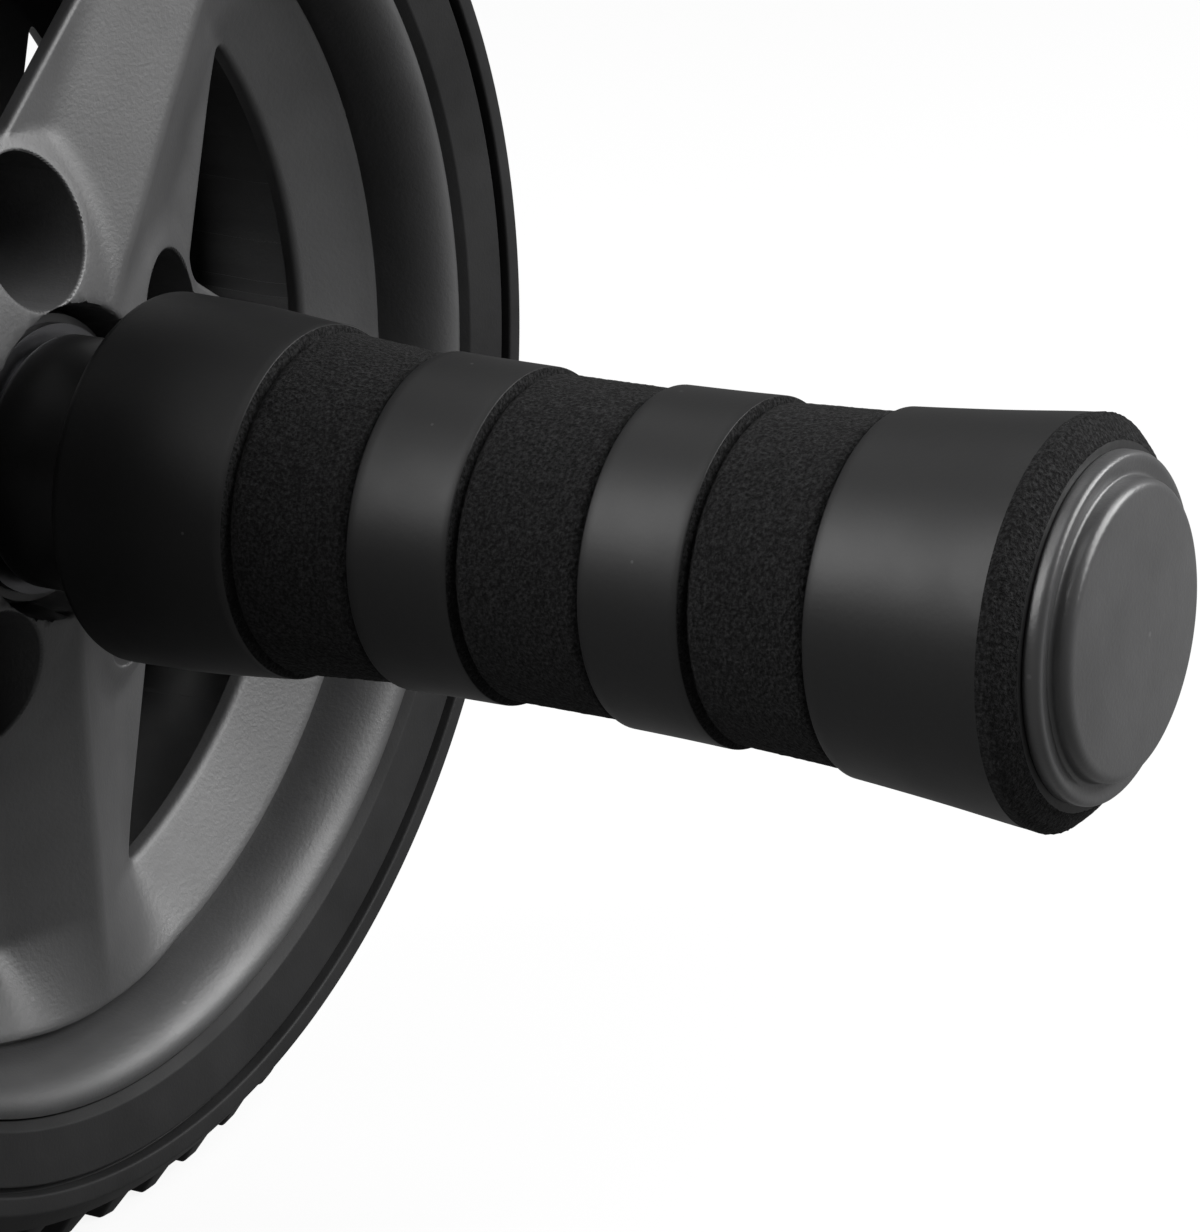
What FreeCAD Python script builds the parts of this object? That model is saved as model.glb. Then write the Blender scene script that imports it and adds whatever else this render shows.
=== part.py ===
"""Ab wheel roller: one wide rubber-tyred wheel that turns on a steel tube between two foam grips.

Millimetres, +Z up. The origin is the wheel's centre on the axle. The axle runs along Y, the user
faces +X, the left handle is at +Y and the right handle at -Y. Each left piece is modelled on the
+Y side and the right one is its mirror image. Angles round the axle count from +X up to +Z.
"""
import FreeCAD
import Part
import math
import os

from FreeCAD import Vector

# Rubber tyre
tyre_width = 58.0
tyre_shoulder_radius = 85.0
tyre_wall = 10.45
tyre_bead_inset = 2.6
tyre_bead_step = 1.1
tyre_side_inset = 0.7
tyre_groove_inset = 2.6
tyre_groove_width = 0.9
tyre_groove_depth = 1.0
tyre_shoulder_rise = 2.6
tyre_shoulder_run = 2.5
lug_count = 66
lug_height = 2.9
lug_foot_width = 4.2
lug_top_width = 2.8
lug_root = 1.5
lug_end_run = 2.0
lug_phase_deg = -80.5

# Moulded wheel halves, which meet on the plane y = 0
tyre_seat_gap = 0.25
rim_wall = 3.6
rim_lip_inset = 2.5
rim_lip_width = 2.0
rim_lip_crown = 0.5
rim_wall_height = 3.4
rim_channel_radius = 3.0
rim_channel_drop = 1.4
rim_channel_width = 4.7
ring_outer_inset = 9.5
ring_width = 10.1
web_inset = 14.6
web_thickness = 3.0
ring_back_run = 3.4

# Gabled spokes
spoke_count = 5
spoke_phase_deg = 58.9
spoke_half_width = 13.0
spoke_root_inset = 2.5
spoke_ridge_rise = 5.7
spoke_root_rise = 6.0
spoke_end_rise = 0.15
spoke_depth = 2.0

# Windows between the spokes
window_apex_wall = 1.8
window_apex_round = 4.0
window_side_clearance = 0.35

# Hub of each wheel half
hub_flange_gap = 1.0
hub_recess_depth = 6.1
hub_dome_rise = 6.2
hub_dome_inset = 0.5
hub_dome_crown = 1.0
hub_barrel_wall = 3.5
hub_floor = 3.0

# Pockets for the screws that hold the halves together
pocket_recess_wall = 0.8
pocket_radius = 8.7
pocket_wall = 2.0
pocket_floor = 3.0
screw_radius = 2.0
screw_hole_clearance = 0.3
screw_head_radius = 4.2
screw_head_height = 2.6
screw_socket_radius = 1.4
screw_socket_depth = 1.5
nut_sides = 6
nut_across_corners = 8.1
nut_height = 3.2
screw_tip = 1.2

# Axle tube, bushes and the pieces that locate the wheel on it
axle_radius = 10.0
axle_wall = 2.0
bush_wall = 3.42
bush_running_gap = 0.08
bush_mid_gap = 2.5
bush_flange_width = 3.0
bush_flange_thickness = 2.0
bush_seat_gap = 0.02
washer_inset = 1.0
washer_thickness = 1.0
washer_gap = 0.2
sliding_fit = 0.1
clip_rise = 3.0
clip_thickness = 1.2
clip_groove_depth = 0.8
clip_mouth_deg = 50.0
collar_wall = 4.4
collar_edge = 0.8

# Handles
handle_reach = 120.2
grip_inner_reach = 3.6
core_wall = 3.0
core_flange_rise = 2.9
core_flange_thickness = 3.0
core_edge = 0.6
foam_fit = 0.2
foam_end_radius = 21.9
foam_chamfer_drop = 2.6
foam_inner_round = 1.0
foam_groove_depth = 0.75
# Where the smooth bands start and end, as shares of the foam's length
band_shares = ((0.0, 0.189), (0.317, 0.426), (0.560, 0.667), (0.792, 0.981))
# The foam's outline at the start, middle and end of each band, as shares of its end radius
band_radius_shares = (
    (0.959, 0.948, 0.902),
    (0.851, 0.847, 0.845),
    (0.847, 0.853, 0.863),
    (0.895, 0.942, 1.0),
)

# End caps
cap_rim_inset = 0.9
cap_rim_height = 2.2
cap_rim_round = 1.5
cap_valley_depth = 0.5
cap_step = 2.7
cap_face_height = 2.4
cap_face_round = 1.7
cap_stem_length = 22.0
cap_stem_wall = 2.4
cap_stem_gap = 0.1
cap_stem_lead = 1.0

# Overrun of every cutting tool
overrun = 2.0

ORIGIN = Vector(0, 0, 0)
AXLE = Vector(0, 1, 0)

# Planes and radii that several pieces share
half_width = tyre_width / 2
web_face = half_width - web_inset
web_back = web_face - web_thickness
ring_edge = half_width - ring_outer_inset
hub_top = web_face + hub_dome_rise
hub_recess_floor = hub_top - hub_recess_depth
tyre_bore_radius = tyre_shoulder_radius - tyre_wall
tread_radius = tyre_shoulder_radius + tyre_shoulder_rise
tread_reach = half_width - tyre_shoulder_run
tyre_groove_radius = tyre_shoulder_radius - tyre_groove_inset
rim_radius = tyre_bore_radius - tyre_seat_gap
ring_outer_radius = rim_radius - rim_lip_width - rim_channel_width
ring_inner_radius = ring_outer_radius - ring_width
bush_bore = axle_radius + bush_running_gap
bush_radius = bush_bore + bush_wall
hub_bore = bush_radius + bush_seat_gap
bush_flange_radius = bush_radius + bush_flange_width
washer_radius = bush_flange_radius - washer_inset
hub_recess_radius = bush_flange_radius + hub_flange_gap
spoke_inner_reach = hub_recess_radius + spoke_root_inset
pocket_circle_radius = hub_recess_radius + pocket_recess_wall + pocket_radius
window_apex_radius = pocket_circle_radius + pocket_radius + window_apex_wall
hub_dome_radius = window_apex_radius - hub_dome_inset
clip_radius = axle_radius + clip_rise
washer_start = hub_recess_floor + bush_flange_thickness + washer_gap
clip_start = washer_start + washer_thickness
collar_start = clip_start + clip_thickness
grip_start = half_width + grip_inner_reach
collar_end = grip_start - core_flange_thickness
collar_radius = axle_radius + sliding_fit + collar_wall
core_radius = axle_radius + sliding_fit + core_wall
core_flange_radius = core_radius + core_flange_rise
foam_chamfer_radius = foam_end_radius - foam_chamfer_drop
cap_rim_radius = foam_chamfer_radius - cap_rim_inset
cap_face_radius = cap_rim_radius - cap_step
handle_end = half_width + handle_reach
spoke_step_deg = 360 / spoke_count


def turned(start, *steps):
    """Solid of revolution about the axle. A step is a (radius, y) point for a straight run, or a
    pair of such points for an arc through the first to the second."""
    here = Vector(start[0], start[1], 0)
    first = here
    edges = []
    for step in steps:
        if isinstance(step[0], tuple):
            middle = Vector(step[0][0], step[0][1], 0)
            there = Vector(step[1][0], step[1][1], 0)
            edges.append(Part.Arc(here, middle, there).toShape())
        else:
            there = Vector(step[0], step[1], 0)
            edges.append(Part.makeLine(here, there))
        here = there
    edges.append(Part.makeLine(here, first))
    return Part.Face(Part.Wire(edges)).revolve(ORIGIN, AXLE, 360)


def around_axle(shape, angle_deg):
    """Copy turned about the axle, from +X towards +Z."""
    copy = shape.copy()
    copy.rotate(ORIGIN, AXLE, -angle_deg)
    return copy


def around_spokes(shape, offset_deg):
    """One copy per spoke, turned by the same offset from each spoke's middle line."""
    angles = [spoke_phase_deg + offset_deg + n * spoke_step_deg for n in range(spoke_count)]
    return [around_axle(shape, angle) for angle in angles]


def post(radius, low, high, distance=0.0):
    """Cylinder along the axle's direction, at a distance from it."""
    return Part.makeCylinder(radius, high - low, Vector(distance, low, 0), AXLE)


def tube(outer, inner, low, high):
    return post(outer, low, high).cut(post(inner, low, high))


def mirrored(shape):
    return shape.mirror(ORIGIN, AXLE)


def tyre():
    """Rubber tyre: a bead step, a groove near the edge, sloping shoulders and bars across the tread."""
    bead = half_width - tyre_bead_inset
    side = half_width - tyre_side_inset
    groove_low = tyre_groove_radius - tyre_groove_width / 2
    groove_high = tyre_groove_radius + tyre_groove_width / 2
    step_radius = tyre_bore_radius + tyre_bead_step
    body = turned(
        (tyre_bore_radius, 0),
        (tyre_bore_radius, bead),
        (step_radius, bead + tyre_bead_step),
        (groove_low, side),
        (groove_low, side - tyre_groove_depth),
        (groove_high, side - tyre_groove_depth),
        (groove_high, half_width),
        (tyre_shoulder_radius, half_width),
        (tread_radius, tread_reach),
        (tread_radius, 0),
    )
    body = body.fuse(mirrored(body))
    return body.fuse(lug_crown()).removeSplitter()


def lug_crown():
    """Ring of tread bars: one outline with every bar, drawn out across the tread, with sloping ends."""
    low = tread_radius - lug_root
    top = tread_radius + lug_height
    pitch = 360 / lug_count
    foot = math.degrees(lug_foot_width / 2 / tread_radius)
    crest = math.degrees(lug_top_width / 2 / top)
    outline = []
    for n in range(lug_count):
        middle = lug_phase_deg + n * pitch
        for radius, turn in ((low, -foot), (top, -crest), (top, crest), (low, foot)):
            angle = math.radians(middle + turn)
            outline.append(Vector(radius * math.cos(angle), 0, radius * math.sin(angle)))
    outline.append(outline[0])
    inner = Part.Wire([Part.makeCircle(low - lug_root, ORIGIN, AXLE)])
    face = Part.Face([Part.makePolygon(outline), inner])
    face.translate(Vector(0, -tread_reach, 0))
    bars = face.extrude(Vector(0, 2 * tread_reach, 0))
    slope = lug_end_run / lug_height
    ends = turned(
        (tread_radius, tread_reach),
        (top + overrun, tread_reach - slope * (lug_height + overrun)),
        (top + overrun, tread_reach + overrun),
        (tread_radius, tread_reach + overrun),
    )
    return bars.cut(ends).cut(mirrored(ends))


def wheel_shell():
    """Turned body of a wheel half: rim, lip, channel, ring, web, domed hub and hub barrel."""
    lip = half_width - rim_lip_inset
    lip_radius = rim_radius - rim_lip_width
    lip_middle = (rim_radius - rim_lip_width / 2, lip + rim_lip_crown)
    channel_middle = lip_radius - rim_channel_radius
    channel_low = ring_edge - rim_channel_drop
    channel_high = channel_low + rim_channel_radius
    wall_top = channel_high + rim_wall_height
    dome_middle = (hub_recess_radius + hub_dome_radius) / 2
    dome_height = web_face + hub_dome_rise / 2 + hub_dome_crown
    barrel = hub_bore + hub_barrel_wall
    recess_wall = hub_recess_radius + hub_floor
    recess_back = hub_recess_floor - hub_floor
    dome_back = hub_dome_radius + hub_floor
    rim_inner = rim_radius - rim_wall
    ring_back = ring_edge - ring_back_run
    return turned(
        (rim_radius, 0),
        (rim_radius, lip),
        (lip_middle, (lip_radius, wall_top)),
        (lip_radius, channel_high),
        (
            (channel_middle + rim_channel_radius * math.sqrt(0.5),
             channel_high - rim_channel_radius * math.sqrt(0.5)),
            (channel_middle, channel_low),
        ),
        (ring_outer_radius, ring_edge),
        (ring_inner_radius, web_face),
        (hub_dome_radius, web_face),
        ((dome_middle, dome_height), (hub_recess_radius, hub_top)),
        (hub_recess_radius, hub_recess_floor),
        (hub_bore, hub_recess_floor),
        (hub_bore, 0),
        (barrel, 0),
        (barrel, recess_back),
        (recess_wall, recess_back),
        (recess_wall, hub_top - hub_floor),
        ((dome_middle, dome_height - hub_floor), (dome_back, web_back)),
        (ring_inner_radius, web_back),
        (ring_outer_radius, ring_back),
        (rim_inner, ring_back),
        (rim_inner, 0),
    )


def spoke():
    """One gabled spoke along +X. Its ridge runs level, and its eaves climb the ring to the rim."""
    meets_ring = math.sqrt(ring_inner_radius ** 2 - spoke_half_width ** 2)
    meets_rim = math.sqrt(ring_outer_radius ** 2 - spoke_half_width ** 2)
    climb = (ring_edge - web_face) / (meets_rim - meets_ring)
    reach = ring_outer_radius + overrun
    end_height = ring_edge + climb * (reach - meets_rim)
    stations = (
        (spoke_inner_reach, web_face, web_face + spoke_root_rise),
        (meets_ring, web_face, web_face + spoke_ridge_rise),
        (reach, end_height, end_height + spoke_end_rise),
    )
    sections = []
    for along, eave, ridge in stations:
        foot = web_face - spoke_depth
        corners = [
            Vector(along, foot, -spoke_half_width),
            Vector(along, eave, -spoke_half_width),
            Vector(along, ridge, 0),
            Vector(along, eave, spoke_half_width),
            Vector(along, foot, spoke_half_width),
        ]
        sections.append(Part.makePolygon(corners + corners[:1]))
    bar = Part.makeLoft(sections, True, True)
    return bar.common(post(ring_outer_radius, web_back, half_width))


def window():
    """Cutter for one window, centred on +X: a wide triangle with a round apex and an arc outside."""
    half_step = math.radians(spoke_step_deg / 2)
    corner_angle = half_step - math.asin((spoke_half_width + window_side_clearance) / ring_inner_radius)
    corner_x = ring_inner_radius * math.cos(corner_angle)
    corner_z = ring_inner_radius * math.sin(corner_angle)
    apex = window_apex_radius + window_apex_round
    slope = math.atan2(corner_z, corner_x - window_apex_radius)
    touch_x = apex - window_apex_round * math.sin(slope)
    touch_z = window_apex_round * math.cos(slope)
    low = web_back - overrun
    nose = Part.Arc(
        Vector(touch_x, low, -touch_z),
        Vector(window_apex_radius, low, 0),
        Vector(touch_x, low, touch_z),
    ).toShape()
    base = Part.Arc(
        Vector(corner_x, low, corner_z),
        Vector(ring_inner_radius, low, 0),
        Vector(corner_x, low, -corner_z),
    ).toShape()
    side_up = Part.makeLine(Vector(touch_x, low, touch_z), Vector(corner_x, low, corner_z))
    side_down = Part.makeLine(Vector(corner_x, low, -corner_z), Vector(touch_x, low, -touch_z))
    outline = Part.Wire([nose, side_up, base, side_down])
    return Part.Face(outline).extrude(Vector(0, web_thickness + spoke_root_rise + 2 * overrun, 0))


def wheel_half():
    """Left wheel half: turned shell, gabled spokes, screw pockets, windows and screw holes."""
    between = spoke_step_deg / 2
    boss = post(pocket_radius + pocket_wall, 0, web_face, pocket_circle_radius)
    pocket = post(pocket_radius, pocket_floor, half_width, pocket_circle_radius)
    hole = post(screw_radius + screw_hole_clearance, -overrun, half_width, pocket_circle_radius)
    body = wheel_shell()
    body = body.fuse(around_spokes(spoke(), 0) + around_spokes(boss, between))
    body = body.cut(Part.makeCompound(around_spokes(window(), between)))
    body = body.cut(Part.makeCompound(around_spokes(pocket, between)))
    body = body.cut(Part.makeCompound(around_spokes(hole, between)))
    body = body.cut(post(hub_bore, -overrun, half_width))
    body = body.cut(post(hub_recess_radius, hub_recess_floor, half_width))
    return body.removeSplitter()


def half_screws():
    """Screws through the floors of the pockets, heads in the right half."""
    head = post(screw_head_radius, -pocket_floor - screw_head_height, -pocket_floor, pocket_circle_radius)
    socket = post(
        screw_socket_radius,
        -pocket_floor - screw_head_height,
        -pocket_floor - screw_head_height + screw_socket_depth,
        pocket_circle_radius,
    )
    shank_end = pocket_floor + nut_height + screw_tip
    shank = post(screw_radius, -pocket_floor, shank_end, pocket_circle_radius)
    screw = head.fuse(shank).cut(socket)
    return Part.makeCompound(around_spokes(screw, spoke_step_deg / 2))


def half_nuts():
    """Hexagon nuts on the same screws, in the left half."""
    corners = []
    across = nut_across_corners / 2
    for n in range(nut_sides):
        angle = 2 * math.pi * n / nut_sides
        x = pocket_circle_radius + across * math.cos(angle)
        corners.append(Vector(x, pocket_floor, across * math.sin(angle)))
    outline = Part.Face(Part.makePolygon(corners + corners[:1]))
    nut = outline.extrude(Vector(0, nut_height, 0))
    nut = nut.cut(post(screw_radius, 0, half_width, pocket_circle_radius))
    return Part.makeCompound(around_spokes(nut, spoke_step_deg / 2))


def hub_bush():
    """Flanged plastic bush pressed into the hub, on which the wheel runs."""
    flange_end = hub_recess_floor + bush_flange_thickness
    return turned(
        (bush_bore, bush_mid_gap),
        (bush_radius, bush_mid_gap),
        (bush_radius, hub_recess_floor),
        (bush_flange_radius, hub_recess_floor),
        (bush_flange_radius, flange_end),
        (bush_bore, flange_end),
    )


def axle_tube():
    """Steel tube from cap to cap, with a groove for each retaining ring."""
    body = tube(axle_radius, axle_radius - axle_wall, -handle_end, handle_end)
    floor = axle_radius - clip_groove_depth
    groove = tube(axle_radius + overrun, floor, clip_start, collar_start)
    return body.cut(groove).cut(mirrored(groove))


def thrust_washer():
    return tube(washer_radius, axle_radius + sliding_fit, washer_start, clip_start)


def retaining_ring():
    """Open spring ring that snaps into the groove of the tube, its mouth downwards."""
    ring = tube(clip_radius, axle_radius - clip_groove_depth, clip_start, collar_start)
    half_mouth = math.radians(clip_mouth_deg / 2)
    depth = clip_radius + overrun
    spread = depth * math.tan(half_mouth)
    corners = [
        Vector(0, clip_start, 0),
        Vector(spread, clip_start, -depth),
        Vector(-spread, clip_start, -depth),
    ]
    mouth = Part.Face(Part.makePolygon(corners + corners[:1])).extrude(Vector(0, clip_thickness, 0))
    return ring.cut(mouth)


def spacer_collar():
    """Plastic collar that keeps the grip clear of the wheel."""
    bore = axle_radius + sliding_fit
    return turned(
        (bore, collar_start),
        (collar_radius - collar_edge, collar_start),
        (collar_radius, collar_start + collar_edge),
        (collar_radius, collar_end),
        (bore, collar_end),
    )


def grip_core():
    """Hard plastic sleeve on the tube that carries the foam, with a flange at the wheel end."""
    bore = axle_radius + sliding_fit
    return turned(
        (bore, collar_end),
        (core_flange_radius - core_edge, collar_end),
        (core_flange_radius, collar_end + core_edge),
        (core_flange_radius, grip_start),
        (core_radius, grip_start),
        (core_radius, handle_end),
        (bore, handle_end),
    )


def foam_grip():
    """Foam grip: waisted outline, four raised bands, three ground grooves and a ground outer edge."""
    length = handle_end - grip_start
    bore = core_radius + foam_fit
    steps = []
    floor = None
    for (start_share, end_share), radius_shares in zip(band_shares, band_radius_shares):
        low = grip_start + start_share * length
        high = grip_start + end_share * length
        first, middle, last = (share * foam_end_radius for share in radius_shares)
        if floor is None:
            steps.append((first - foam_inner_round, low))
            low += foam_inner_round
        else:
            steps.append((first - foam_groove_depth, low))
        steps.append((first, low))
        steps.append(((middle, (low + high) / 2), (last, high)))
        floor = last - foam_groove_depth
        steps.append((floor, high))
    steps.pop()
    steps.append((foam_chamfer_radius, handle_end))
    steps.append((bore, handle_end))
    return turned((bore, grip_start), *steps)


def end_cap():
    """Two-tier push-in cap: a rim disc, a smaller raised disc and a hollow stem in the tube."""
    stem = axle_radius - axle_wall - cap_stem_gap
    stem_end = handle_end - cap_stem_length
    rim_top = handle_end + cap_rim_height
    face = rim_top + cap_face_height
    rim_bend = cap_rim_round * (1 - math.sqrt(0.5))
    face_bend = cap_face_round * (1 - math.sqrt(0.5))
    return turned(
        (0, rim_top - cap_valley_depth),
        (stem - cap_stem_wall, rim_top - cap_valley_depth),
        (stem - cap_stem_wall, stem_end),
        (stem - cap_stem_lead, stem_end),
        (stem, stem_end + cap_stem_lead),
        (stem, handle_end),
        (cap_rim_radius, handle_end),
        (cap_rim_radius, rim_top - cap_rim_round),
        (
            (cap_rim_radius - rim_bend, rim_top - rim_bend),
            (cap_rim_radius - cap_rim_round, rim_top),
        ),
        (cap_face_radius, rim_top - cap_valley_depth),
        (cap_face_radius, face - cap_face_round),
        (
            (cap_face_radius - face_bend, face - face_bend),
            (cap_face_radius - cap_face_round, face),
        ),
        (0, face),
    )


def write(name, shape):
    shape.exportStep(os.path.join("parts", name + ".step"))


os.makedirs("parts", exist_ok=True)
write("tyre", tyre())
write("axle_tube", axle_tube())
write("half_screws", half_screws())
write("half_nuts", half_nuts())
paired = {
    "wheel_half": wheel_half(),
    "hub_bush": hub_bush(),
    "thrust_washer": thrust_washer(),
    "retaining_ring": retaining_ring(),
    "spacer_collar": spacer_collar(),
    "grip_core": grip_core(),
    "foam_grip": foam_grip(),
    "end_cap": end_cap(),
}
for piece, shape in paired.items():
    write(piece + "_left", shape)
    write(piece + "_right", mirrored(shape))
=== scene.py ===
"""Ab wheel roller, dressed over its CAD frame.

The wheel halves, tyre, screws, collars, foam grips and end caps are finer meshes that stand for their
CAD nodes, and the nodes that stay get their finish. Metres, +Z up, the axle along Y and the left handle
at +Y. Angles round the axle count from +X up to +Z. Every outline is drawn for the left side, and the
right side is its mirror image.
"""
import math

import bmesh
import bpy
import numpy as np
from bpy.props import FloatProperty, FloatVectorProperty, IntProperty, PointerProperty
from mathutils import Matrix, Vector, noise
from mathutils.geometry import delaunay_2d_cdt


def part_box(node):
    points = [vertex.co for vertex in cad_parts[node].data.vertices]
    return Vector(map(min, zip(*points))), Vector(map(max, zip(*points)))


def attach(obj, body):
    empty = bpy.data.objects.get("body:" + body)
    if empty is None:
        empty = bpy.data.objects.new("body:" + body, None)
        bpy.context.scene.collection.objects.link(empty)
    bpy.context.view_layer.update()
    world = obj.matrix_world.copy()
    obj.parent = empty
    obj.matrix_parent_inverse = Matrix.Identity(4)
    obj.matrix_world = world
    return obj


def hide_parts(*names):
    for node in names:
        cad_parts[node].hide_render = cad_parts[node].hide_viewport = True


bl_info = {
    "name": "Ab wheel roller",
    "version": (1, 0, 0),
    "blender": (4, 5, 0),
    "location": "3D View > Sidebar > Roller",
    "description": "Dresses the frame of an ab wheel roller and sets its stage",
    "category": "Object",
}

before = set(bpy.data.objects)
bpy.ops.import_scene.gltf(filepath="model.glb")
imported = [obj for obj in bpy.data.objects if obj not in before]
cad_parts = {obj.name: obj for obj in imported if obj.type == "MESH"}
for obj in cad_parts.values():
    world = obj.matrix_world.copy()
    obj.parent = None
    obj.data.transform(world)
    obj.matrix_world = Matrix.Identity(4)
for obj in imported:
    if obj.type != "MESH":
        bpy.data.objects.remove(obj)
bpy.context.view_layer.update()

SIDES = ("left", "right")
tyre_low, tyre_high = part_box("tyre")
half_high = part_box("wheel_half_left")[1]
foam_low, foam_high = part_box("foam_grip_left")
cap_low, cap_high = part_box("end_cap_left")
collar_low, collar_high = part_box("spacer_collar_left")
screw_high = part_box("half_screws")[1]


def size(name, default, text):
    """Length that a user may change, in metres."""
    return FloatProperty(name=name, description=text, default=default, min=0.0, precision=5, unit="LENGTH")


def angle(name, default, text):
    """Angle that a user may change, in radians."""
    return FloatProperty(name=name, description=text, default=default, subtype="ANGLE")


def colour(name, default, text):
    """Surface colour, in linear light."""
    return FloatVectorProperty(
        name=name, description=text, default=default, size=4, min=0.0, max=1.0, subtype="COLOR"
    )


class WheelSettings(bpy.types.PropertyGroup):
    spoke_count: IntProperty(name="Spokes", description="Number of spokes in each half", default=5, min=3)
    spoke_phase: angle("Spoke phase", math.radians(58.9), "Angle of the first spoke round the axle")
    spoke_half_width: size("Spoke half-width", 0.0130, "From a spoke's ridge to its eaves")
    spoke_root_rise: size("Spoke root rise", 0.0060, "Height of the ridge over the web at the hub")
    spoke_ridge_rise: size("Spoke ridge rise", 0.0057, "Height of the ridge over the web at the ring")
    spoke_root_radius: size("Spoke root radius", 0.0200, "Where a spoke's ridge leaves the hub")
    ridge_round: size("Ridge rounding", 0.0004, "Rounding of the ridge where two facets meet")
    blend: size("Blend", 0.0009, "Width of the soft blend between spoke, ring and hub")
    web_inset: size("Web inset", 0.0146, "Depth of the web under the tyre's side")
    web_thickness: size("Web thickness", 0.0018, "Wall of the web, ring and hub")
    ring_inset: size("Ring inset", 0.0095, "Depth of the ring's outer edge under the tyre's side")
    ring_outer: size("Ring outer radius", 0.0676, "Radius of the ring's outer edge")
    ring_inner: size("Ring inner radius", 0.0575, "Radius of the ring's inner edge and the windows' arcs")
    groove_drop: size("Groove drop", 0.0020, "Depth of the groove under the ring's outer edge")
    groove_width: size("Groove width", 0.0010, "Width of the groove between the ring and the rim")
    crown_inset: size("Crown inset", 0.0020, "Depth of the rim bead's crown under the tyre's side")
    rim_wall: size("Rim wall", 0.0036, "Thickness of the rim under the tyre")
    hub_bore: size("Hub bore", 0.01352, "Radius of the bore for the bush")
    recess_radius: size("Recess radius", 0.0175, "Radius of the recess in the hub")
    recess_depth: size("Recess depth", 0.0061, "Depth of the recess in the hub")
    dome_radius: size("Dome radius", 0.0370, "Where the hub's dome meets the web")
    dome_rise: size("Dome rise", 0.0062, "Height of the dome over the web at the recess")
    dome_crown: size("Dome crown", 0.0010, "Bulge of the dome between recess and web")
    barrel_wall: size("Barrel wall", 0.0035, "Wall of the barrel round the bush")
    pocket_circle: size("Pocket circle", 0.0270, "Radius of the circle on which the screw pockets lie")
    pocket_radius: size("Pocket radius", 0.0087, "Radius of a screw pocket")
    pocket_wall: size("Pocket wall", 0.0020, "Wall of the boss round a pocket")
    pocket_floor: size("Pocket floor", 0.0030, "Thickness of a pocket's floor")
    window_apex: size("Window apex", 0.0375, "Radius of a window's inner end")
    window_apex_round: size("Window apex rounding", 0.0040, "Rounding of a window's inner end")
    window_tip_round: size("Window tip rounding", 0.0008, "Rounding of a window's pointed ends")
    window_gap: size("Window gap", 0.00035, "Strip of web between a spoke's eaves and a window")
    edge_round: size("Edge rounding", 0.0007, "Rounding along windows and pockets")
    plastic: colour("Plastic", (0.042, 0.042, 0.0428, 1.0), "Moulded plastic of the wheel")


class TyreSettings(bpy.types.PropertyGroup):
    bore: size("Bore", 0.07455, "Radius of the seat on the rim")
    shoulder: size("Shoulder radius", 0.0850, "Radius of the sidewall's outer edge")
    shoulder_rise: size("Shoulder rise", 0.0026, "How far the sloping shoulder rises to the tread")
    shoulder_run: size("Shoulder run", 0.0025, "Width of the sloping shoulder")
    shoulder_round: size("Shoulder rounding", 0.0006, "Rounding of the shoulder's edges")
    bead_inset: size("Bead inset", 0.0026, "Depth of the bead under the tyre's side")
    bead_step: size("Bead step", 0.0011, "Slant of the bead beside the rim")
    side_inset: size("Side inset", 0.0007, "Depth of the sidewall under the shoulder")
    groove_radius: size("Groove radius", 0.0824, "Radius of the groove in the sidewall")
    groove_width: size("Groove width", 0.0009, "Width of the groove in the sidewall")
    groove_depth: size("Groove depth", 0.0010, "Depth of the groove in the sidewall")
    bar_count: IntProperty(name="Bars", description="Number of bars across the tread", default=66, min=8)
    bar_phase: angle("Bar phase", math.radians(-80.5), "Angle of the first bar round the axle")
    bar_height: size("Bar height", 0.00285, "Height of a bar over the tread")
    bar_foot: size("Bar foot", 0.0042, "Width of a bar at the tread")
    bar_top: size("Bar top", 0.0028, "Width of a bar at its top")
    bar_root: size("Bar root", 0.0010, "Depth to which a bar is sunk into the tread")
    bar_end_run: size("Bar end run", 0.0020, "How far a bar's end slopes in towards its top")
    bar_round: size("Bar rounding", 0.0005, "Rounding of a bar's edges")
    rubber: colour("Rubber", (0.012, 0.012, 0.0123, 1.0), "Rubber of the tyre")


class GripSettings(bpy.types.PropertyGroup):
    bore: size("Bore", 0.0133, "Radius of the foam's bore")
    inner_round: size("Inner rounding", 0.0012, "Rounding of the end beside the wheel")
    groove_depth: size("Groove depth", 0.00060, "Depth of the ground grooves under the bands")
    cut_depth: size("Cut depth", 0.0009, "How much deeper a groove is along its edges")
    cut_width: size("Cut width", 0.0006, "Width of the deeper cut along a groove's edges")
    step_width: size("Step width", 0.0003, "Run of the step from a band into a groove")
    chamfer_radius: size("Chamfer radius", 0.0193, "Radius at the end of the ground outer edge")
    grain_height: size("Grain height", 0.00009, "Height of the ground foam's crumbs")
    grain_size: size("Grain size", 0.0006, "Size of the ground foam's crumbs")
    skin: colour("Skin", (0.009, 0.009, 0.0092, 1.0), "Skinned bands of the foam")
    ground: colour("Ground foam", (0.009, 0.009, 0.0092, 1.0), "Ground grooves of the foam")


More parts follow.
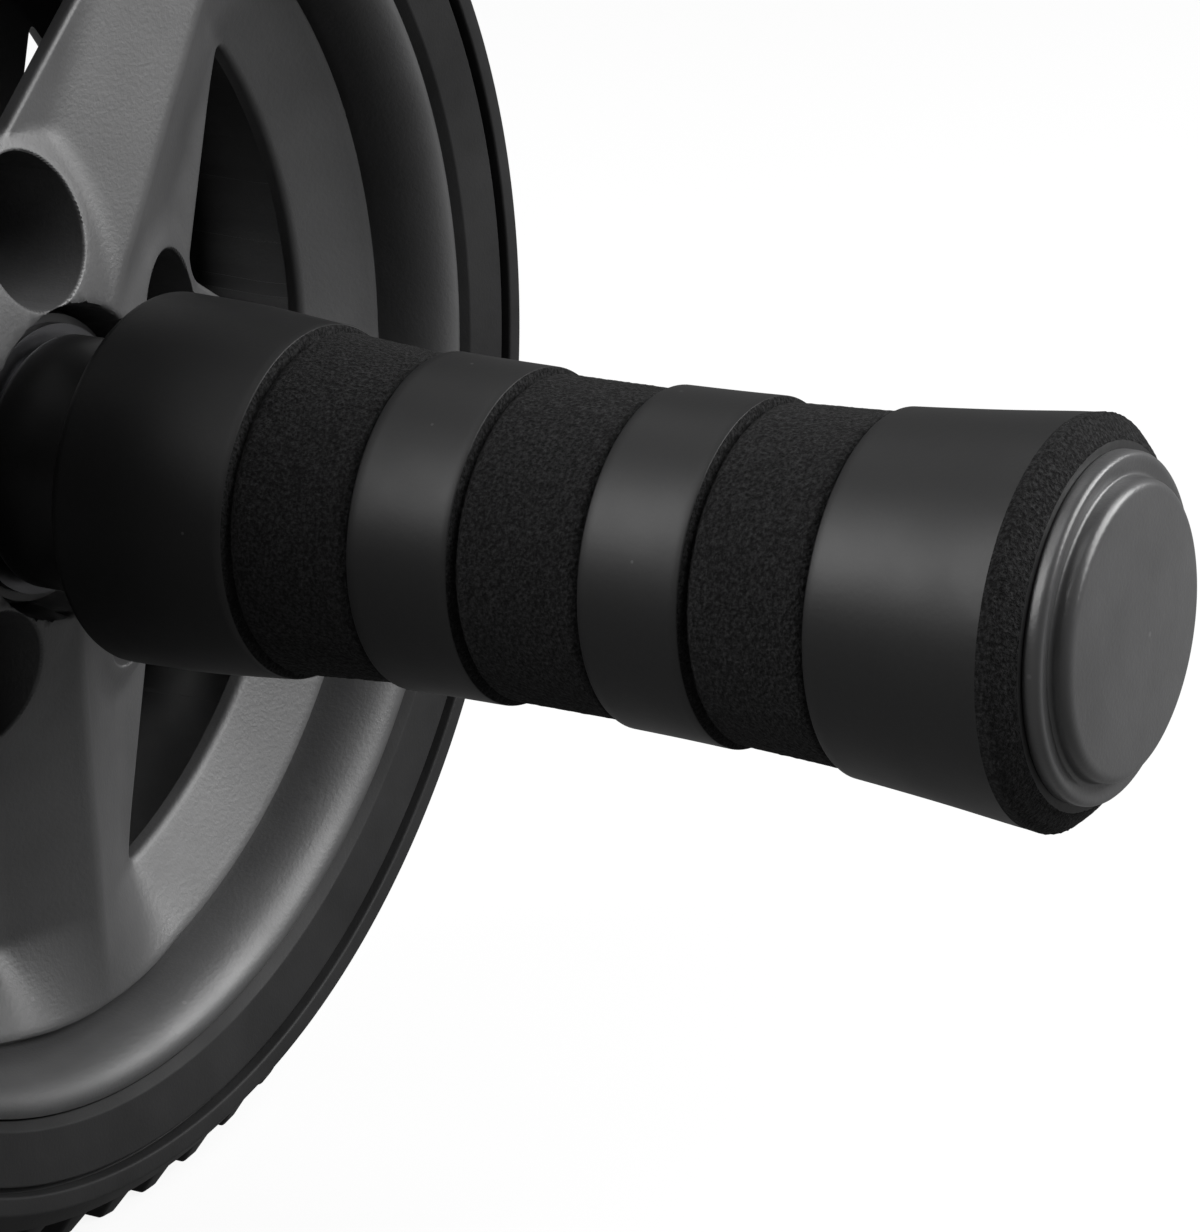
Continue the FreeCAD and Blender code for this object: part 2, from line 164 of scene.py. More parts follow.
class CapSettings(bpy.types.PropertyGroup):
    rim_height: size("Rim height", 0.0022, "Height of the rim over the end of the handle")
    rim_round: size("Rim rounding", 0.0018, "Rounding of the rim's edge")
    valley_radius: size("Valley radius", 0.0159, "Radius of the valley between rim and face")
    valley_depth: size("Valley depth", 0.0005, "Depth of the valley under the rim")
    face_radius: size("Face radius", 0.0157, "Radius of the raised face")
    face_crown: size("Face crown", 0.0006, "How far the face's edge lies below its middle")
    face_round: size("Face rounding", 0.0024, "Rounding of the face's edge")
    stem_radius: size("Stem radius", 0.0079, "Radius of the stem in the tube")
    stem_wall: size("Stem wall", 0.0024, "Wall of the stem")
    plastic: colour("Plastic", (0.045, 0.045, 0.0459, 1.0), "Moulded plastic of the end caps")


class CollarSettings(bpy.types.PropertyGroup):
    bore: size("Bore", 0.0101, "Radius of the collar's bore")
    edge_round: size("Edge rounding", 0.0008, "Rounding of the collar's edges")
    # Near-black, darker than the other plastics: painted shade of the gap between hub and grip, where
    # collars and cores stand
    plastic: colour("Plastic", (0.006, 0.006, 0.0062, 1.0), "Plastic of collars and cores")


class ScrewSettings(bpy.types.PropertyGroup):
    head_radius: size("Head radius", 0.0042, "Radius of a screw's head")
    head_height: size("Head height", 0.0026, "Height of a screw's head")
    head_round: size("Head rounding", 0.0009, "Rounding of a screw's head")
    socket_radius: size("Socket radius", 0.0019, "From the middle of the hexagon socket to its corners")
    socket_depth: size("Socket depth", 0.0015, "Depth of the hexagon socket")
    shank_radius: size("Shank radius", 0.0020, "Radius of a screw's shank")


class StageSettings(bpy.types.PropertyGroup):
    camera_place: FloatVectorProperty(
        name="Camera place",
        description="Where the camera stands",
        default=(-0.4913, -0.3763, 0.1621),
        subtype="TRANSLATION",
    )
    camera_turn: FloatVectorProperty(
        name="Camera turn",
        description="Level camera: tilt, roll and heading",
        default=(math.radians(73.37), 0.0, math.radians(-59.78)),
        subtype="EULER",
    )
    camera_lens: FloatProperty(
        name="Lens", description="Focal length for a 36 mm frame", default=161.14, unit="CAMERA"
    )
    floor_side: size("Floor side", 8.0, "Length of the floor's sides")
    paper: colour("Paper", (0.88, 0.88, 0.88, 1.0), "Pale floor as the camera sees it")
    bounce: colour("Bounce", (0.10, 0.10, 0.10, 1.0), "Floor as it lights the object from below")


class RollerSettings(bpy.types.PropertyGroup):
    wheel: PointerProperty(type=WheelSettings)
    tyre: PointerProperty(type=TyreSettings)
    grip: PointerProperty(type=GripSettings)
    cap: PointerProperty(type=CapSettings)
    collar: PointerProperty(type=CollarSettings)
    screw: PointerProperty(type=ScrewSettings)
    stage: PointerProperty(type=StageSettings)


# Meshes

# Edges that bend more than this stay sharp, unless a piece says otherwise
SHARP_DEG = 40.0


def new_object(name, vertices, faces, sharp_deg=SHARP_DEG):
    """Closed mesh at the origin, normals outwards, smooth but for edges sharper than the angle."""
    mesh = bpy.data.meshes.new(name)
    mesh.from_pydata([tuple(v) for v in vertices], [], [tuple(f) for f in faces])
    obj = bpy.data.objects.new(name, mesh)
    bpy.context.scene.collection.objects.link(obj)
    tidy(mesh, sharp_deg)
    return obj


def tidy(mesh, sharp_deg=SHARP_DEG):
    """Turns every face outwards and sets smooth shading with sharp edges kept."""
    work = bmesh.new()
    work.from_mesh(mesh)
    bmesh.ops.recalc_face_normals(work, faces=work.faces)
    work.to_mesh(mesh)
    work.free()
    mesh.shade_smooth()
    mesh.set_sharp_from_angle(angle=math.radians(sharp_deg))


def mirrored(obj, name):
    """Copy of an object on the other side of the wheel's middle plane."""
    copy = obj.copy()
    copy.data = obj.data.copy()
    copy.name = name
    copy.data.name = name
    copy.data.transform(Matrix.Scale(-1.0, 4, Vector((0.0, 1.0, 0.0))))
    copy.data.flip_normals()
    bpy.context.scene.collection.objects.link(copy)
    return copy


def dress(obj, body, slot, *nodes):
    """Lets a piece ride on its body and stand for its CAD nodes. The slot is not used."""
    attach(obj, body)
    if nodes:
        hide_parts(*nodes)


def dress_pair(left, right_name, body, slot, node):
    """Mirrors a left piece and dresses both, each for the CAD node of its side."""
    right = mirrored(left, right_name)
    for obj, side in zip((left, right), SIDES):
        dress(obj, body, slot, node + "_" + side)
    return right


# Largest share of a side that one fillet takes up
FILLET_SHARE = 0.49
# A point of an outline nearer to the axle than this lies on it
ON_AXLE = 1e-7


def rounded(corners, steps=6):
    """Outline of (radius, y) points from (radius, y, fillet) corners, each fillet drawn as an arc."""
    outline = []
    for here, (radius, y, fillet) in enumerate(corners):
        point = Vector((radius, y))
        if not fillet or here in (0, len(corners) - 1):
            outline.append(point)
            continue
        back = Vector(corners[here - 1][:2]) - point
        ahead = Vector(corners[here + 1][:2]) - point
        half = back.angle(ahead) / 2
        run = min(fillet / math.tan(half), FILLET_SHARE * back.length, FILLET_SHARE * ahead.length)
        start = point + back.normalized() * run
        end = point + ahead.normalized() * run
        # A quadratic with its control point at the corner is close to an arc at blunt corners
        for step in range(steps + 1):
            t = step / steps
            outline.append((1 - t) ** 2 * start + 2 * t * (1 - t) * point + t ** 2 * end)
    return [(p.x, p.y) for p in outline]


def lathe(name, outline, segments, closed, sharp_deg=SHARP_DEG):
    """Turned solid about the axle from (radius, y) points.

    A closed outline is a ring's section, and an open one starts and ends on the axle.
    """
    rings = []
    vertices = []
    for radius, y in outline:
        if radius < ON_AXLE:
            rings.append([len(vertices)] * segments)
            vertices.append((0.0, y, 0.0))
            continue
        rings.append(list(range(len(vertices), len(vertices) + segments)))
        for k in range(segments):
            turn = 2 * math.pi * k / segments
            vertices.append((radius * math.cos(turn), y, radius * math.sin(turn)))
    faces = []
    pairs = list(zip(rings, rings[1:]))
    if closed:
        pairs.append((rings[-1], rings[0]))
    for low, high in pairs:
        for k in range(segments):
            after = (k + 1) % segments
            corners = [low[k], low[after], high[after], high[k]]
            faces.append(list(dict.fromkeys(corners)))
    return new_object(name, vertices, faces, sharp_deg)


# Copies round the axle, with Geometry Nodes

def ring_pattern():
    """Tree that sets copies of a shape round the axle at equal steps, welds them and gives them a finish."""
    name = "Copies round the axle"
    if name in bpy.data.node_groups:
        return bpy.data.node_groups[name]
    tree = bpy.data.node_groups.new(name, "GeometryNodeTree")
    inputs = {
        "Geometry": "NodeSocketGeometry",
        "Count": "NodeSocketInt",
        "First angle": "NodeSocketFloat",
        "Weld distance": "NodeSocketFloat",
        "Finish": "NodeSocketMaterial",
    }
    for label, kind in inputs.items():
        tree.interface.new_socket(label, in_out="INPUT", socket_type=kind)
    tree.interface.new_socket("Geometry", in_out="OUTPUT", socket_type="NodeSocketGeometry")
    given = tree.nodes.new("NodeGroupInput")
    result = tree.nodes.new("NodeGroupOutput")
    line = add(tree, "GeometryNodeMeshLine", Count=given.outputs["Count"], Offset=(0.0, 0.0, 0.0))
    index = add(tree, "GeometryNodeInputIndex")
    share = math_node(tree, "DIVIDE", index.outputs[0], given.outputs["Count"])
    turn = math_node(tree, "MULTIPLY_ADD", share, 2 * math.pi, given.outputs["First angle"])
    # From +X up to +Z is a negative turn about Y
    about_axle = math_node(tree, "MULTIPLY", turn, -1.0)
    rotation = add(tree, "ShaderNodeCombineXYZ", Y=about_axle)
    copies = add(
        tree,
        "GeometryNodeInstanceOnPoints",
        Points=line.outputs["Mesh"],
        Instance=given.outputs["Geometry"],
        Rotation=rotation.outputs[0],
    )
    solid = add(tree, "GeometryNodeRealizeInstances", Geometry=copies.outputs[0])
    weld = given.outputs["Weld distance"]
    welded = add(tree, "GeometryNodeMergeByDistance", Geometry=solid.outputs[0], Distance=weld)
    finish = given.outputs["Finish"]
    painted = add(tree, "GeometryNodeSetMaterial", Geometry=welded.outputs[0], Material=finish)
    tree.links.new(painted.outputs[0], result.inputs["Geometry"])
    return tree


def pattern(obj, count, first_angle, weld, material):
    """Turns an object into copies of itself round the axle, as one plain mesh."""
    tree = ring_pattern()
    modifier = obj.modifiers.new("Copies", "NODES")
    modifier.node_group = tree
    values = {"Count": count, "First angle": first_angle, "Weld distance": weld, "Finish": material}
    for item in tree.interface.items_tree:
        if item.in_out == "INPUT" and item.name in values:
            modifier[item.identifier] = values[item.name]
    graph = bpy.context.evaluated_depsgraph_get()
    mesh = bpy.data.meshes.new_from_object(obj.evaluated_get(graph))
    mesh.name = obj.name
    obj.modifiers.clear()
    obj.data = mesh


# Node helpers

def feed(tree, socket, value):
    """Links an input to another node's output, or sets its value."""
    if isinstance(value, bpy.types.NodeSocket):
        tree.links.new(value, socket)
    else:
        socket.default_value = value


def add(tree, kind, settings=None, **sockets):
    """New node with its settings and fed sockets. A socket's spaces are written as underscores."""
    made = tree.nodes.new(kind)
    for key, value in (settings or {}).items():
        setattr(made, key, value)
    for key, value in sockets.items():
        feed(tree, made.inputs[key.replace("_", " ")], value)
    return made


def math_node(tree, operation, *values):
    """Result of a Math node, each value a number or a socket."""
    made = tree.nodes.new("ShaderNodeMath")
    made.operation = operation
    for socket, value in zip(made.inputs, values):
        feed(tree, socket, value)
    return made.outputs[0]


def mix_colours(tree, share, first, second):
    """Colour between two colours by a share."""
    made = tree.nodes.new("ShaderNodeMix")
    made.data_type = "RGBA"
    for name, value in (("Factor_Float", share), ("A_Color", first), ("B_Color", second)):
        feed(tree, next(s for s in made.inputs if s.identifier == name), value)
    return next(s for s in made.outputs if s.identifier == "Result_Color")


def spread(tree, value, low, high, to_low, to_high):
    """Value mapped from one span to another and held within it."""
    made = add(
        tree,
        "ShaderNodeMapRange",
        {"clamp": True},
        Value=value,
        From_Min=low,
        From_Max=high,
        To_Min=to_low,
        To_Max=to_high,
    )
    return made.outputs[0]


def new_group(name, inputs, outputs):
    """Empty shader node group with a Vector input, float inputs and float outputs."""
    tree = bpy.data.node_groups.new(name, "ShaderNodeTree")
    tree.interface.new_socket("Vector", in_out="INPUT", socket_type="NodeSocketVector")
    for label in inputs:
        tree.interface.new_socket(label, in_out="INPUT", socket_type="NodeSocketFloat")
    for label in outputs:
        tree.interface.new_socket(label, in_out="OUTPUT", socket_type="NodeSocketFloat")
    return tree, tree.nodes.new("NodeGroupInput"), tree.nodes.new("NodeGroupOutput")


# Scale of the plastic's clouds against its grain
CLOUD_SCALE = 0.045


def moulded_grain():
    """Fine grain of a spark-eroded mould and the cloudy tone of the plastic that filled it."""
    name = "Moulded grain"
    if name in bpy.data.node_groups:
        return bpy.data.node_groups[name]
    tree, given, result = new_group(name, ["Grain size"], ["Height", "Cloud"])
    fine = math_node(tree, "DIVIDE", 1.0, given.outputs["Grain size"])
    broad = math_node(tree, "MULTIPLY", fine, CLOUD_SCALE)
    point = given.outputs["Vector"]
    grain = add(tree, "ShaderNodeTexNoise", Vector=point, Scale=fine, Detail=2.0, Roughness=0.6)
    cloud = add(tree, "ShaderNodeTexNoise", Vector=point, Scale=broad, Detail=5.0, Roughness=0.65)
    tree.links.new(grain.outputs[0], result.inputs["Height"])
    tree.links.new(cloud.outputs[0], result.inputs["Cloud"])
    return tree


def handling_marks():
    """Broad rubbed patches and a few specks of dust, as masks from 0 to 1."""
    name = "Handling marks"
    if name in bpy.data.node_groups:
        return bpy.data.node_groups[name]
    tree, given, result = new_group(name, ["Patch size", "Speck spacing"], ["Rubbed", "Specks"])
    point = given.outputs["Vector"]
    patch_scale = math_node(tree, "DIVIDE", 1.0, given.outputs["Patch size"])
    patch = add(tree, "ShaderNodeTexNoise", Vector=point, Scale=patch_scale, Detail=4.0, Roughness=0.55)
    rubbed = spread(tree, patch.outputs[0], 0.35, 0.68, 0.0, 1.0)
    speck_scale = math_node(tree, "DIVIDE", 1.0, given.outputs["Speck spacing"])
    cells = add(tree, "ShaderNodeTexVoronoi", Vector=point, Scale=speck_scale, Randomness=1.0)
    specks = spread(tree, cells.outputs["Distance"], 0.018, 0.030, 1.0, 0.0)
    tree.links.new(rubbed, result.inputs["Rubbed"])
    tree.links.new(specks, result.inputs["Specks"])
    return tree


def foam_cells():
    """Closed foam cells: a height between the cells and a tone that differs from crumb to crumb."""
    name = "Foam cells"
    if name in bpy.data.node_groups:
        return bpy.data.node_groups[name]
    tree, given, result = new_group(name, ["Cell size"], ["Height", "Tone"])
    point = given.outputs["Vector"]
    scale = math_node(tree, "DIVIDE", 1.0, given.outputs["Cell size"])
    cells = add(tree, "ShaderNodeTexVoronoi", Vector=point, Scale=scale, Randomness=1.0)
    crumbs = add(tree, "ShaderNodeTexNoise", Vector=point, Scale=scale, Detail=4.0, Roughness=0.7)
    height = math_node(tree, "MULTIPLY_ADD", cells.outputs["Distance"], 0.5, crumbs.outputs[0])
    tone = spread(tree, crumbs.outputs[0], 0.42, 0.72, 0.0, 1.0)
    tree.links.new(height, result.inputs["Height"])
    tree.links.new(tone, result.inputs["Tone"])
    return tree


def new_material(name):
    """Material with a Principled shader, and the Object coordinates that its patterns read."""
    material = bpy.data.materials.new(name)
    material.use_nodes = True
    tree = material.node_tree
    shader = next(n for n in tree.nodes if n.type == "BSDF_PRINCIPLED")
    point = add(tree, "ShaderNodeTexCoord").outputs["Object"]
    return material, tree, shader, point


def use_group(tree, group, point, **values):
    """Shared effect placed in a material with its own values."""
    return add(tree, "ShaderNodeGroup", {"node_tree": group}, Vector=point, **values)


def scaled(value, factor):
    """Colour made lighter or darker, its alpha kept."""
    return (value[0] * factor, value[1] * factor, value[2] * factor, value[3])


def mottled(tree, base, mask, dark, light):
    """Colour that goes from a darker to a lighter shade of the base by a mask."""
    return mix_colours(tree, mask, scaled(base, dark), scaled(base, light))


def veiled(tree, tone, mask, share, grey):
    """Tone under a thin grey veil, such as dust or bloom, by a mask."""
    veil = math_node(tree, "MULTIPLY", mask, share)
    return mix_colours(tree, veil, tone, (grey, grey, grey, 1.0))


def paint(tree, shader, tone, rough):
    """Colour and roughness to the shader."""
    tree.links.new(tone, shader.inputs["Base Color"])
    tree.links.new(rough, shader.inputs["Roughness"])


def bump(tree, shader, height, strength, distance):
    """Bump from a height to the shader's normal."""
    made = add(tree, "ShaderNodeBump", Height=height, Strength=strength, Distance=distance)
    tree.links.new(made.outputs[0], shader.inputs["Normal"])


def moulded_plastic(name, base, grain_size, rough_low, rough_high, depth):
    """Satin moulded plastic with mould grain, cloudy tone and rubbed patches."""
    if name in bpy.data.materials:
        return bpy.data.materials[name]
    material, tree, shader, point = new_material(name)
    grain = use_group(tree, moulded_grain(), point, Grain_size=grain_size)
    marks = use_group(tree, handling_marks(), point, Patch_size=0.018, Speck_spacing=0.012)
    cloud = spread(tree, grain.outputs["Cloud"], 0.32, 0.68, 0.0, 1.0)
    tone = mottled(tree, base, cloud, dark=0.86, light=1.14)
    dusty = veiled(tree, tone, marks.outputs["Specks"], share=0.10, grey=0.35)
    rough = spread(tree, marks.outputs["Rubbed"], 0.0, 1.0, rough_high, rough_low)
    paint(tree, shader, dusty, rough)
    bump(tree, shader, grain.outputs["Height"], strength=0.35, distance=depth)
    shader.inputs["IOR"].default_value = 1.56
    return material


def tread_rubber(base):
    """Matt tyre rubber, bloomed a little paler in patches."""
    name = "tyre_rubber"
    if name in bpy.data.materials:
        return bpy.data.materials[name]
    material, tree, shader, point = new_material(name)
    grain = use_group(tree, moulded_grain(), point, Grain_size=0.0004)
    marks = use_group(tree, handling_marks(), point, Patch_size=0.025, Speck_spacing=0.010)
    cloud = spread(tree, grain.outputs["Cloud"], 0.30, 0.70, 0.0, 1.0)
    tone = mottled(tree, base, cloud, dark=0.80, light=1.25)
    bloomed = veiled(tree, tone, marks.outputs["Rubbed"], share=0.03, grey=0.22)
    rough = spread(tree, marks.outputs["Rubbed"], 0.0, 1.0, 0.50, 0.66)
    paint(tree, shader, bloomed, rough)
    bump(tree, shader, grain.outputs["Height"], strength=0.4, distance=0.00006)
    shader.inputs["IOR"].default_value = 1.5
    shader.inputs["Specular IOR Level"].default_value = 0.15
    return material


def foam_skin(base):
    """Closed skin of the foam on the bands: satin, with faint cells and a few specks of dust."""
    name = "foam_skin"
    if name in bpy.data.materials:
        return bpy.data.materials[name]
    material, tree, shader, point = new_material(name)
    cells = use_group(tree, foam_cells(), point, Cell_size=0.0005)
    marks = use_group(tree, handling_marks(), point, Patch_size=0.015, Speck_spacing=0.0075)
    tone = mottled(tree, base, cells.outputs["Tone"], dark=0.92, light=1.08)
    dusty = veiled(tree, tone, marks.outputs["Specks"], share=0.12, grey=0.30)
    rough = spread(tree, marks.outputs["Rubbed"], 0.0, 1.0, 0.50, 0.42)
    paint(tree, shader, dusty, rough)
    bump(tree, shader, cells.outputs["Height"], strength=0.20, distance=0.00004)
    shader.inputs["IOR"].default_value = 1.48
    shader.inputs["Specular IOR Level"].default_value = 0.3
    return material


def ground_foam(base):
    """Foam ground open in the grooves and along the outer edge: black crumbs that scatter light."""
    name = "ground_foam"
    if name in bpy.data.materials:
        return bpy.data.materials[name]
    material, tree, shader, point = new_material(name)
    cells = use_group(tree, foam_cells(), point, Cell_size=0.00045)
    tone = mottled(tree, base, cells.outputs["Tone"], dark=0.45, light=2.6)
    rough = spread(tree, cells.outputs["Tone"], 0.0, 1.0, 1.0, 0.82)
    paint(tree, shader, tone, rough)
    bump(tree, shader, cells.outputs["Height"], strength=0.9, distance=0.0004)
    shader.inputs["IOR"].default_value = 1.35
    shader.inputs["Specular IOR Level"].default_value = 0.3
    return material


def plated_steel(name, base, rough_low, rough_high):
    """Plated steel with a fine grain and cloudy plating."""
    if name in bpy.data.materials:
        return bpy.data.materials[name]
    material, tree, shader, point = new_material(name)
    grain = use_group(tree, moulded_grain(), point, Grain_size=0.0005)
    tone = mottled(tree, base, grain.outputs["Cloud"], dark=0.80, light=1.20)
    rough = spread(tree, grain.outputs["Cloud"], 0.3, 0.7, rough_low, rough_high)
    paint(tree, shader, tone, rough)
    bump(tree, shader, grain.outputs["Height"], strength=0.15, distance=0.00002)
    shader.inputs["Metallic"].default_value = 1.0
    return material


def collar_shade_finish(collar):
    """Near-black plastic of the collars and of the cores in the grips, darkened as painted shade of the gap
    between hub and grip.
    """
    return moulded_plastic(
        "moulded_collar", collar.plastic, grain_size=0.0003, rough_low=0.36, rough_high=0.46, depth=0.00003
    )


def black_finish():
    """Blackened steel of screws and nuts, also put on washers and rings as painted shade round the hub."""
    return plated_steel("blackened_steel", (0.10, 0.10, 0.105, 1.0), rough_low=0.30, rough_high=0.48)


# Wheel half

# Radial step at which the turned face is drawn
FACE_STEP = 0.00005
# Run of the recess's wall, and of a wall that drops straight to the middle plane
RECESS_WALL_RUN = 0.0002
WALL_RUN = 0.00008
# Run of the groove's inner wall as a share of the groove's width
GROOVE_WALL_SHARE = 0.4
# The rim's bead ends this far inside the rim and falls by the drop towards it
BEAD_MARGIN = 0.0005
BEAD_DROP = 0.0004
# How steeply a spoke's gable falls away past the ring and inside the recess
FALL_PAST_RING = 4
FALL_IN_RECESS = 40
# How far the gable's ends stand off the ring and the recess, and their rounding at the ring
GABLE_MARGIN = 0.0003
GABLE_END_ROUND = 0.0010
# Run of a window's pointed end to each side, in roundings
TIP_RUN = 2.2
# Rounding along a pocket as a share of the rounding along a window
POCKET_ROUND_SHARE = 0.6
# Rows of points: beside a rounded edge in roundings, beside other edges in metres
ROUND_ROWS = np.array([0.06, 0.2, 0.45, 0.75, 1.1])
RECESS_ROWS = np.array([-0.6, -0.3, 0.0, 0.2, 0.4, 0.7, 1.1]) * 0.001
RING_EDGE_ROWS = np.array([-0.6, -0.3, -0.1, 0.1, 0.3, 0.6]) * 0.001
GROOVE_ROWS = np.array([0.25, 0.12]) * 0.001
# Rows over the ring, which end short of its outer edge, and over the bead, which end short of the rim
RING_ROW_STEP = 0.0009
RING_ROW_MARGIN = 0.0008
BEAD_ROW_COUNT = 28
BEAD_ROW_MARGIN = 0.0003
RIM_ROW_MARGIN = 0.0001
# Rows on a pocket's floor as shares of its radius
POCKET_FLOOR_ROWS = np.array([0.7, 0.4])
# The even fill of points reaches this far past the ring's inner edge, on the seams and between them
FILL_PAST_RING = 0.0016
FILL_ROW_PAST_RING = 0.002
# Spacing along an outline, and room kept round a point of the fill, as shares of the fill's spacing
OUTLINE_SHARE = 0.6
FILL_ROOM_SHARE = 0.45
# Room kept round a point of a row
ROW_ROOM = 0.00003
# Points within these of a seam, in radians, or of the bore lie on it
ON_SEAM = 1e-5
ON_BORE = 1e-6
# Slack for points on the sector's own limits
SLACK = 1e-9
# The triangulation works in micrometres
MICROMETRES = 1e6


def smoothed(heights, width, reach, **ends):
    """Heights of a profile with corners softened over a width in steps, its ends padded as numpy does."""
    kernel = np.exp(-0.5 * (np.arange(-reach, reach + 1) / width) ** 2)
    padded = np.pad(heights, reach, **ends)
    return np.convolve(padded, kernel / kernel.sum(), mode="valid")


def turned_face(wheel):
    """Radii and softened heights of a wheel half's turned face, from the hub bore to the rim."""
    half_width = tyre_high.y
    rim = half_high.x
    web = half_width - wheel.web_inset
    edge = half_width - wheel.ring_inset
    top = web + wheel.dome_rise
    floor = top - wheel.recess_depth
    corners = [(wheel.hub_bore, floor), (wheel.recess_radius, floor)]
    for t in np.linspace(0.0, 1.0, 24):
        radius = wheel.recess_radius + RECESS_WALL_RUN + t * (wheel.dome_radius - wheel.recess_radius)
        bulge = 4 * wheel.dome_crown * t * (1 - t)
        corners.append((radius, top + t * (web - top) + bulge))
    corners += [(wheel.ring_inner, web), (wheel.ring_outer, edge)]
    low = edge - wheel.groove_drop
    start = wheel.ring_outer + wheel.groove_width
    corners += [(wheel.ring_outer + GROOVE_WALL_SHARE * wheel.groove_width, low), (start, low)]
    crown = half_width - wheel.crown_inset
    for t in np.linspace(0.0, 1.0, 40)[1:] ** 2:
        radius = start + (rim - BEAD_MARGIN - start) * t
        corners.append((radius, low + (crown - low) * math.sqrt(1 - (1 - t) ** 2)))
    corners.append((rim, crown - BEAD_DROP))
    radii = np.arange(wheel.hub_bore, rim, FACE_STEP)
    heights = np.interp(radii, [c[0] for c in corners], [c[1] for c in corners])
    return radii, smoothed(heights, 6.0, 24, mode="edge")


def soft_max(first, second, width):
    """Larger of two heights, blended over a width where they are close."""
    share = np.maximum(width - np.abs(first - second), 0.0) / width
    return np.maximum(first, second) + share * share * width / 4


def rounding_drop(distance, radius):
    """How far a rounded edge lies below its face at a distance from the edge."""
    near = np.clip(radius - distance, 0.0, radius)
    return radius - np.sqrt(np.maximum(radius ** 2 - near ** 2, 0.0))


def pocket_centre(wheel):
    """Middle of the screw pocket beside a spoke that lies along the first axis."""
    between = math.pi / wheel.spoke_count
    return wheel.pocket_circle * np.array([math.cos(between), math.sin(between)])


def window_outline(wheel, spacing):
    """Half a window beside a spoke along the first axis, from its apex to the middle of its arc."""
    between = math.pi / wheel.spoke_count
    towards = np.array([math.cos(between), math.sin(between)])
    side = wheel.spoke_half_width + wheel.window_gap
    corner = np.array([math.sqrt(wheel.ring_inner ** 2 - side ** 2), side])
    apex = wheel.window_apex * towards
    run = corner - apex
    middle = (wheel.window_apex + wheel.window_apex_round) * towards
    along = run / np.linalg.norm(run)
    square = np.array([along[1], -along[0]])
    touch = middle + wheel.window_apex_round * square
    bends = []
    for t in np.linspace(0.0, 1.0, 9):
        mixed = -(1 - t) * towards + t * square
        bends.append(middle + wheel.window_apex_round * mixed / np.linalg.norm(mixed))
    tip_run = TIP_RUN * wheel.window_tip_round
    tip_start = corner - along * tip_run
    corner_angle = math.atan2(corner[1], corner[0])
    arc_start_angle = corner_angle + tip_run / wheel.ring_inner
    arc_start = wheel.ring_inner * np.array([math.cos(arc_start_angle), math.sin(arc_start_angle)])
    count = int(np.linalg.norm(tip_start - touch) / spacing)
    straight = [touch + t * (tip_start - touch) for t in np.linspace(0.0, 1.0, count)[1:-1]]
    tip = []
    for t in np.linspace(0.0, 1.0, 8):
        tip.append((1 - t) ** 2 * tip_start + 2 * t * (1 - t) * corner + t ** 2 * arc_start)
    count = int(wheel.ring_inner * (between - arc_start_angle) / spacing)
    arc = []
    for turn in np.linspace(arc_start_angle, between, count)[1:]:
        arc.append(wheel.ring_inner * np.array([math.cos(turn), math.sin(turn)]))
    return np.array(bends + straight + tip + arc)


def outline_distance(points, outline):
    """Distance of each point from an open outline."""
    best = np.full(len(points), np.inf)
    for start, end in zip(outline, outline[1:]):
        run = end - start
        t = np.clip((points - start) @ run / (run @ run), 0.0, 1.0)
        nearest = start + t[:, None] * run
        best = np.minimum(best, np.linalg.norm(points - nearest, axis=1))
    return best


def inside(points, polygon):
    """Whether each point lies in a closed polygon."""
    result = np.zeros(len(points), bool)
    for start, end in zip(polygon, np.roll(polygon, -1, axis=0)):
        crosses = (start[1] > points[:, 1]) != (end[1] > points[:, 1])
        with np.errstate(divide="ignore", invalid="ignore"):
            x = start[0] + (points[:, 1] - start[1]) * (end[0] - start[0]) / (end[1] - start[1])
        result ^= crosses & (points[:, 0] < x)
    return result


def face_height(points, wheel, outline):
    """Height of a wheel half's front at points beside a spoke along the first axis."""
    radii, heights = turned_face(wheel)
    radius = np.linalg.norm(points, axis=1)
    turned = np.interp(radius, radii, heights)
    half_width = tyre_high.y
    web = half_width - wheel.web_inset
    edge = half_width - wheel.ring_inset
    meets_ring = math.sqrt(wheel.ring_inner ** 2 - wheel.spoke_half_width ** 2)
    meets_rim = math.sqrt(wheel.ring_outer ** 2 - wheel.spoke_half_width ** 2)
    climb = (edge - web) / (meets_rim - meets_ring)
    end = edge + climb * (wheel.ring_outer - meets_rim)
    stations = [wheel.spoke_root_radius, meets_ring, wheel.ring_outer]
    tops = [web + wheel.spoke_root_rise, web + wheel.spoke_ridge_rise, end]
    ridge = np.interp(points[:, 0], stations, tops)
    eave = np.interp(points[:, 0], stations, [web, web, end])
    across = np.sqrt(points[:, 1] ** 2 + wheel.ridge_round ** 2) - wheel.ridge_round
    gable = ridge - (ridge - eave) * across / wheel.spoke_half_width
    gable -= FALL_PAST_RING * np.maximum(radius - wheel.ring_outer, 0.0)
    from_end = np.maximum(wheel.ring_outer + GABLE_MARGIN - radius, 0.0)
    gable -= rounding_drop(from_end, GABLE_END_ROUND)
    gable -= FALL_IN_RECESS * np.maximum(wheel.recess_radius + GABLE_MARGIN - radius, 0.0)
    height = soft_max(turned, gable, wheel.blend)
    from_pocket = np.linalg.norm(points - pocket_centre(wheel), axis=1) - wheel.pocket_radius
    height -= rounding_drop(np.maximum(from_pocket, 0.0), POCKET_ROUND_SHARE * wheel.edge_round)
    height -= rounding_drop(outline_distance(points, outline), wheel.edge_round)
    return height


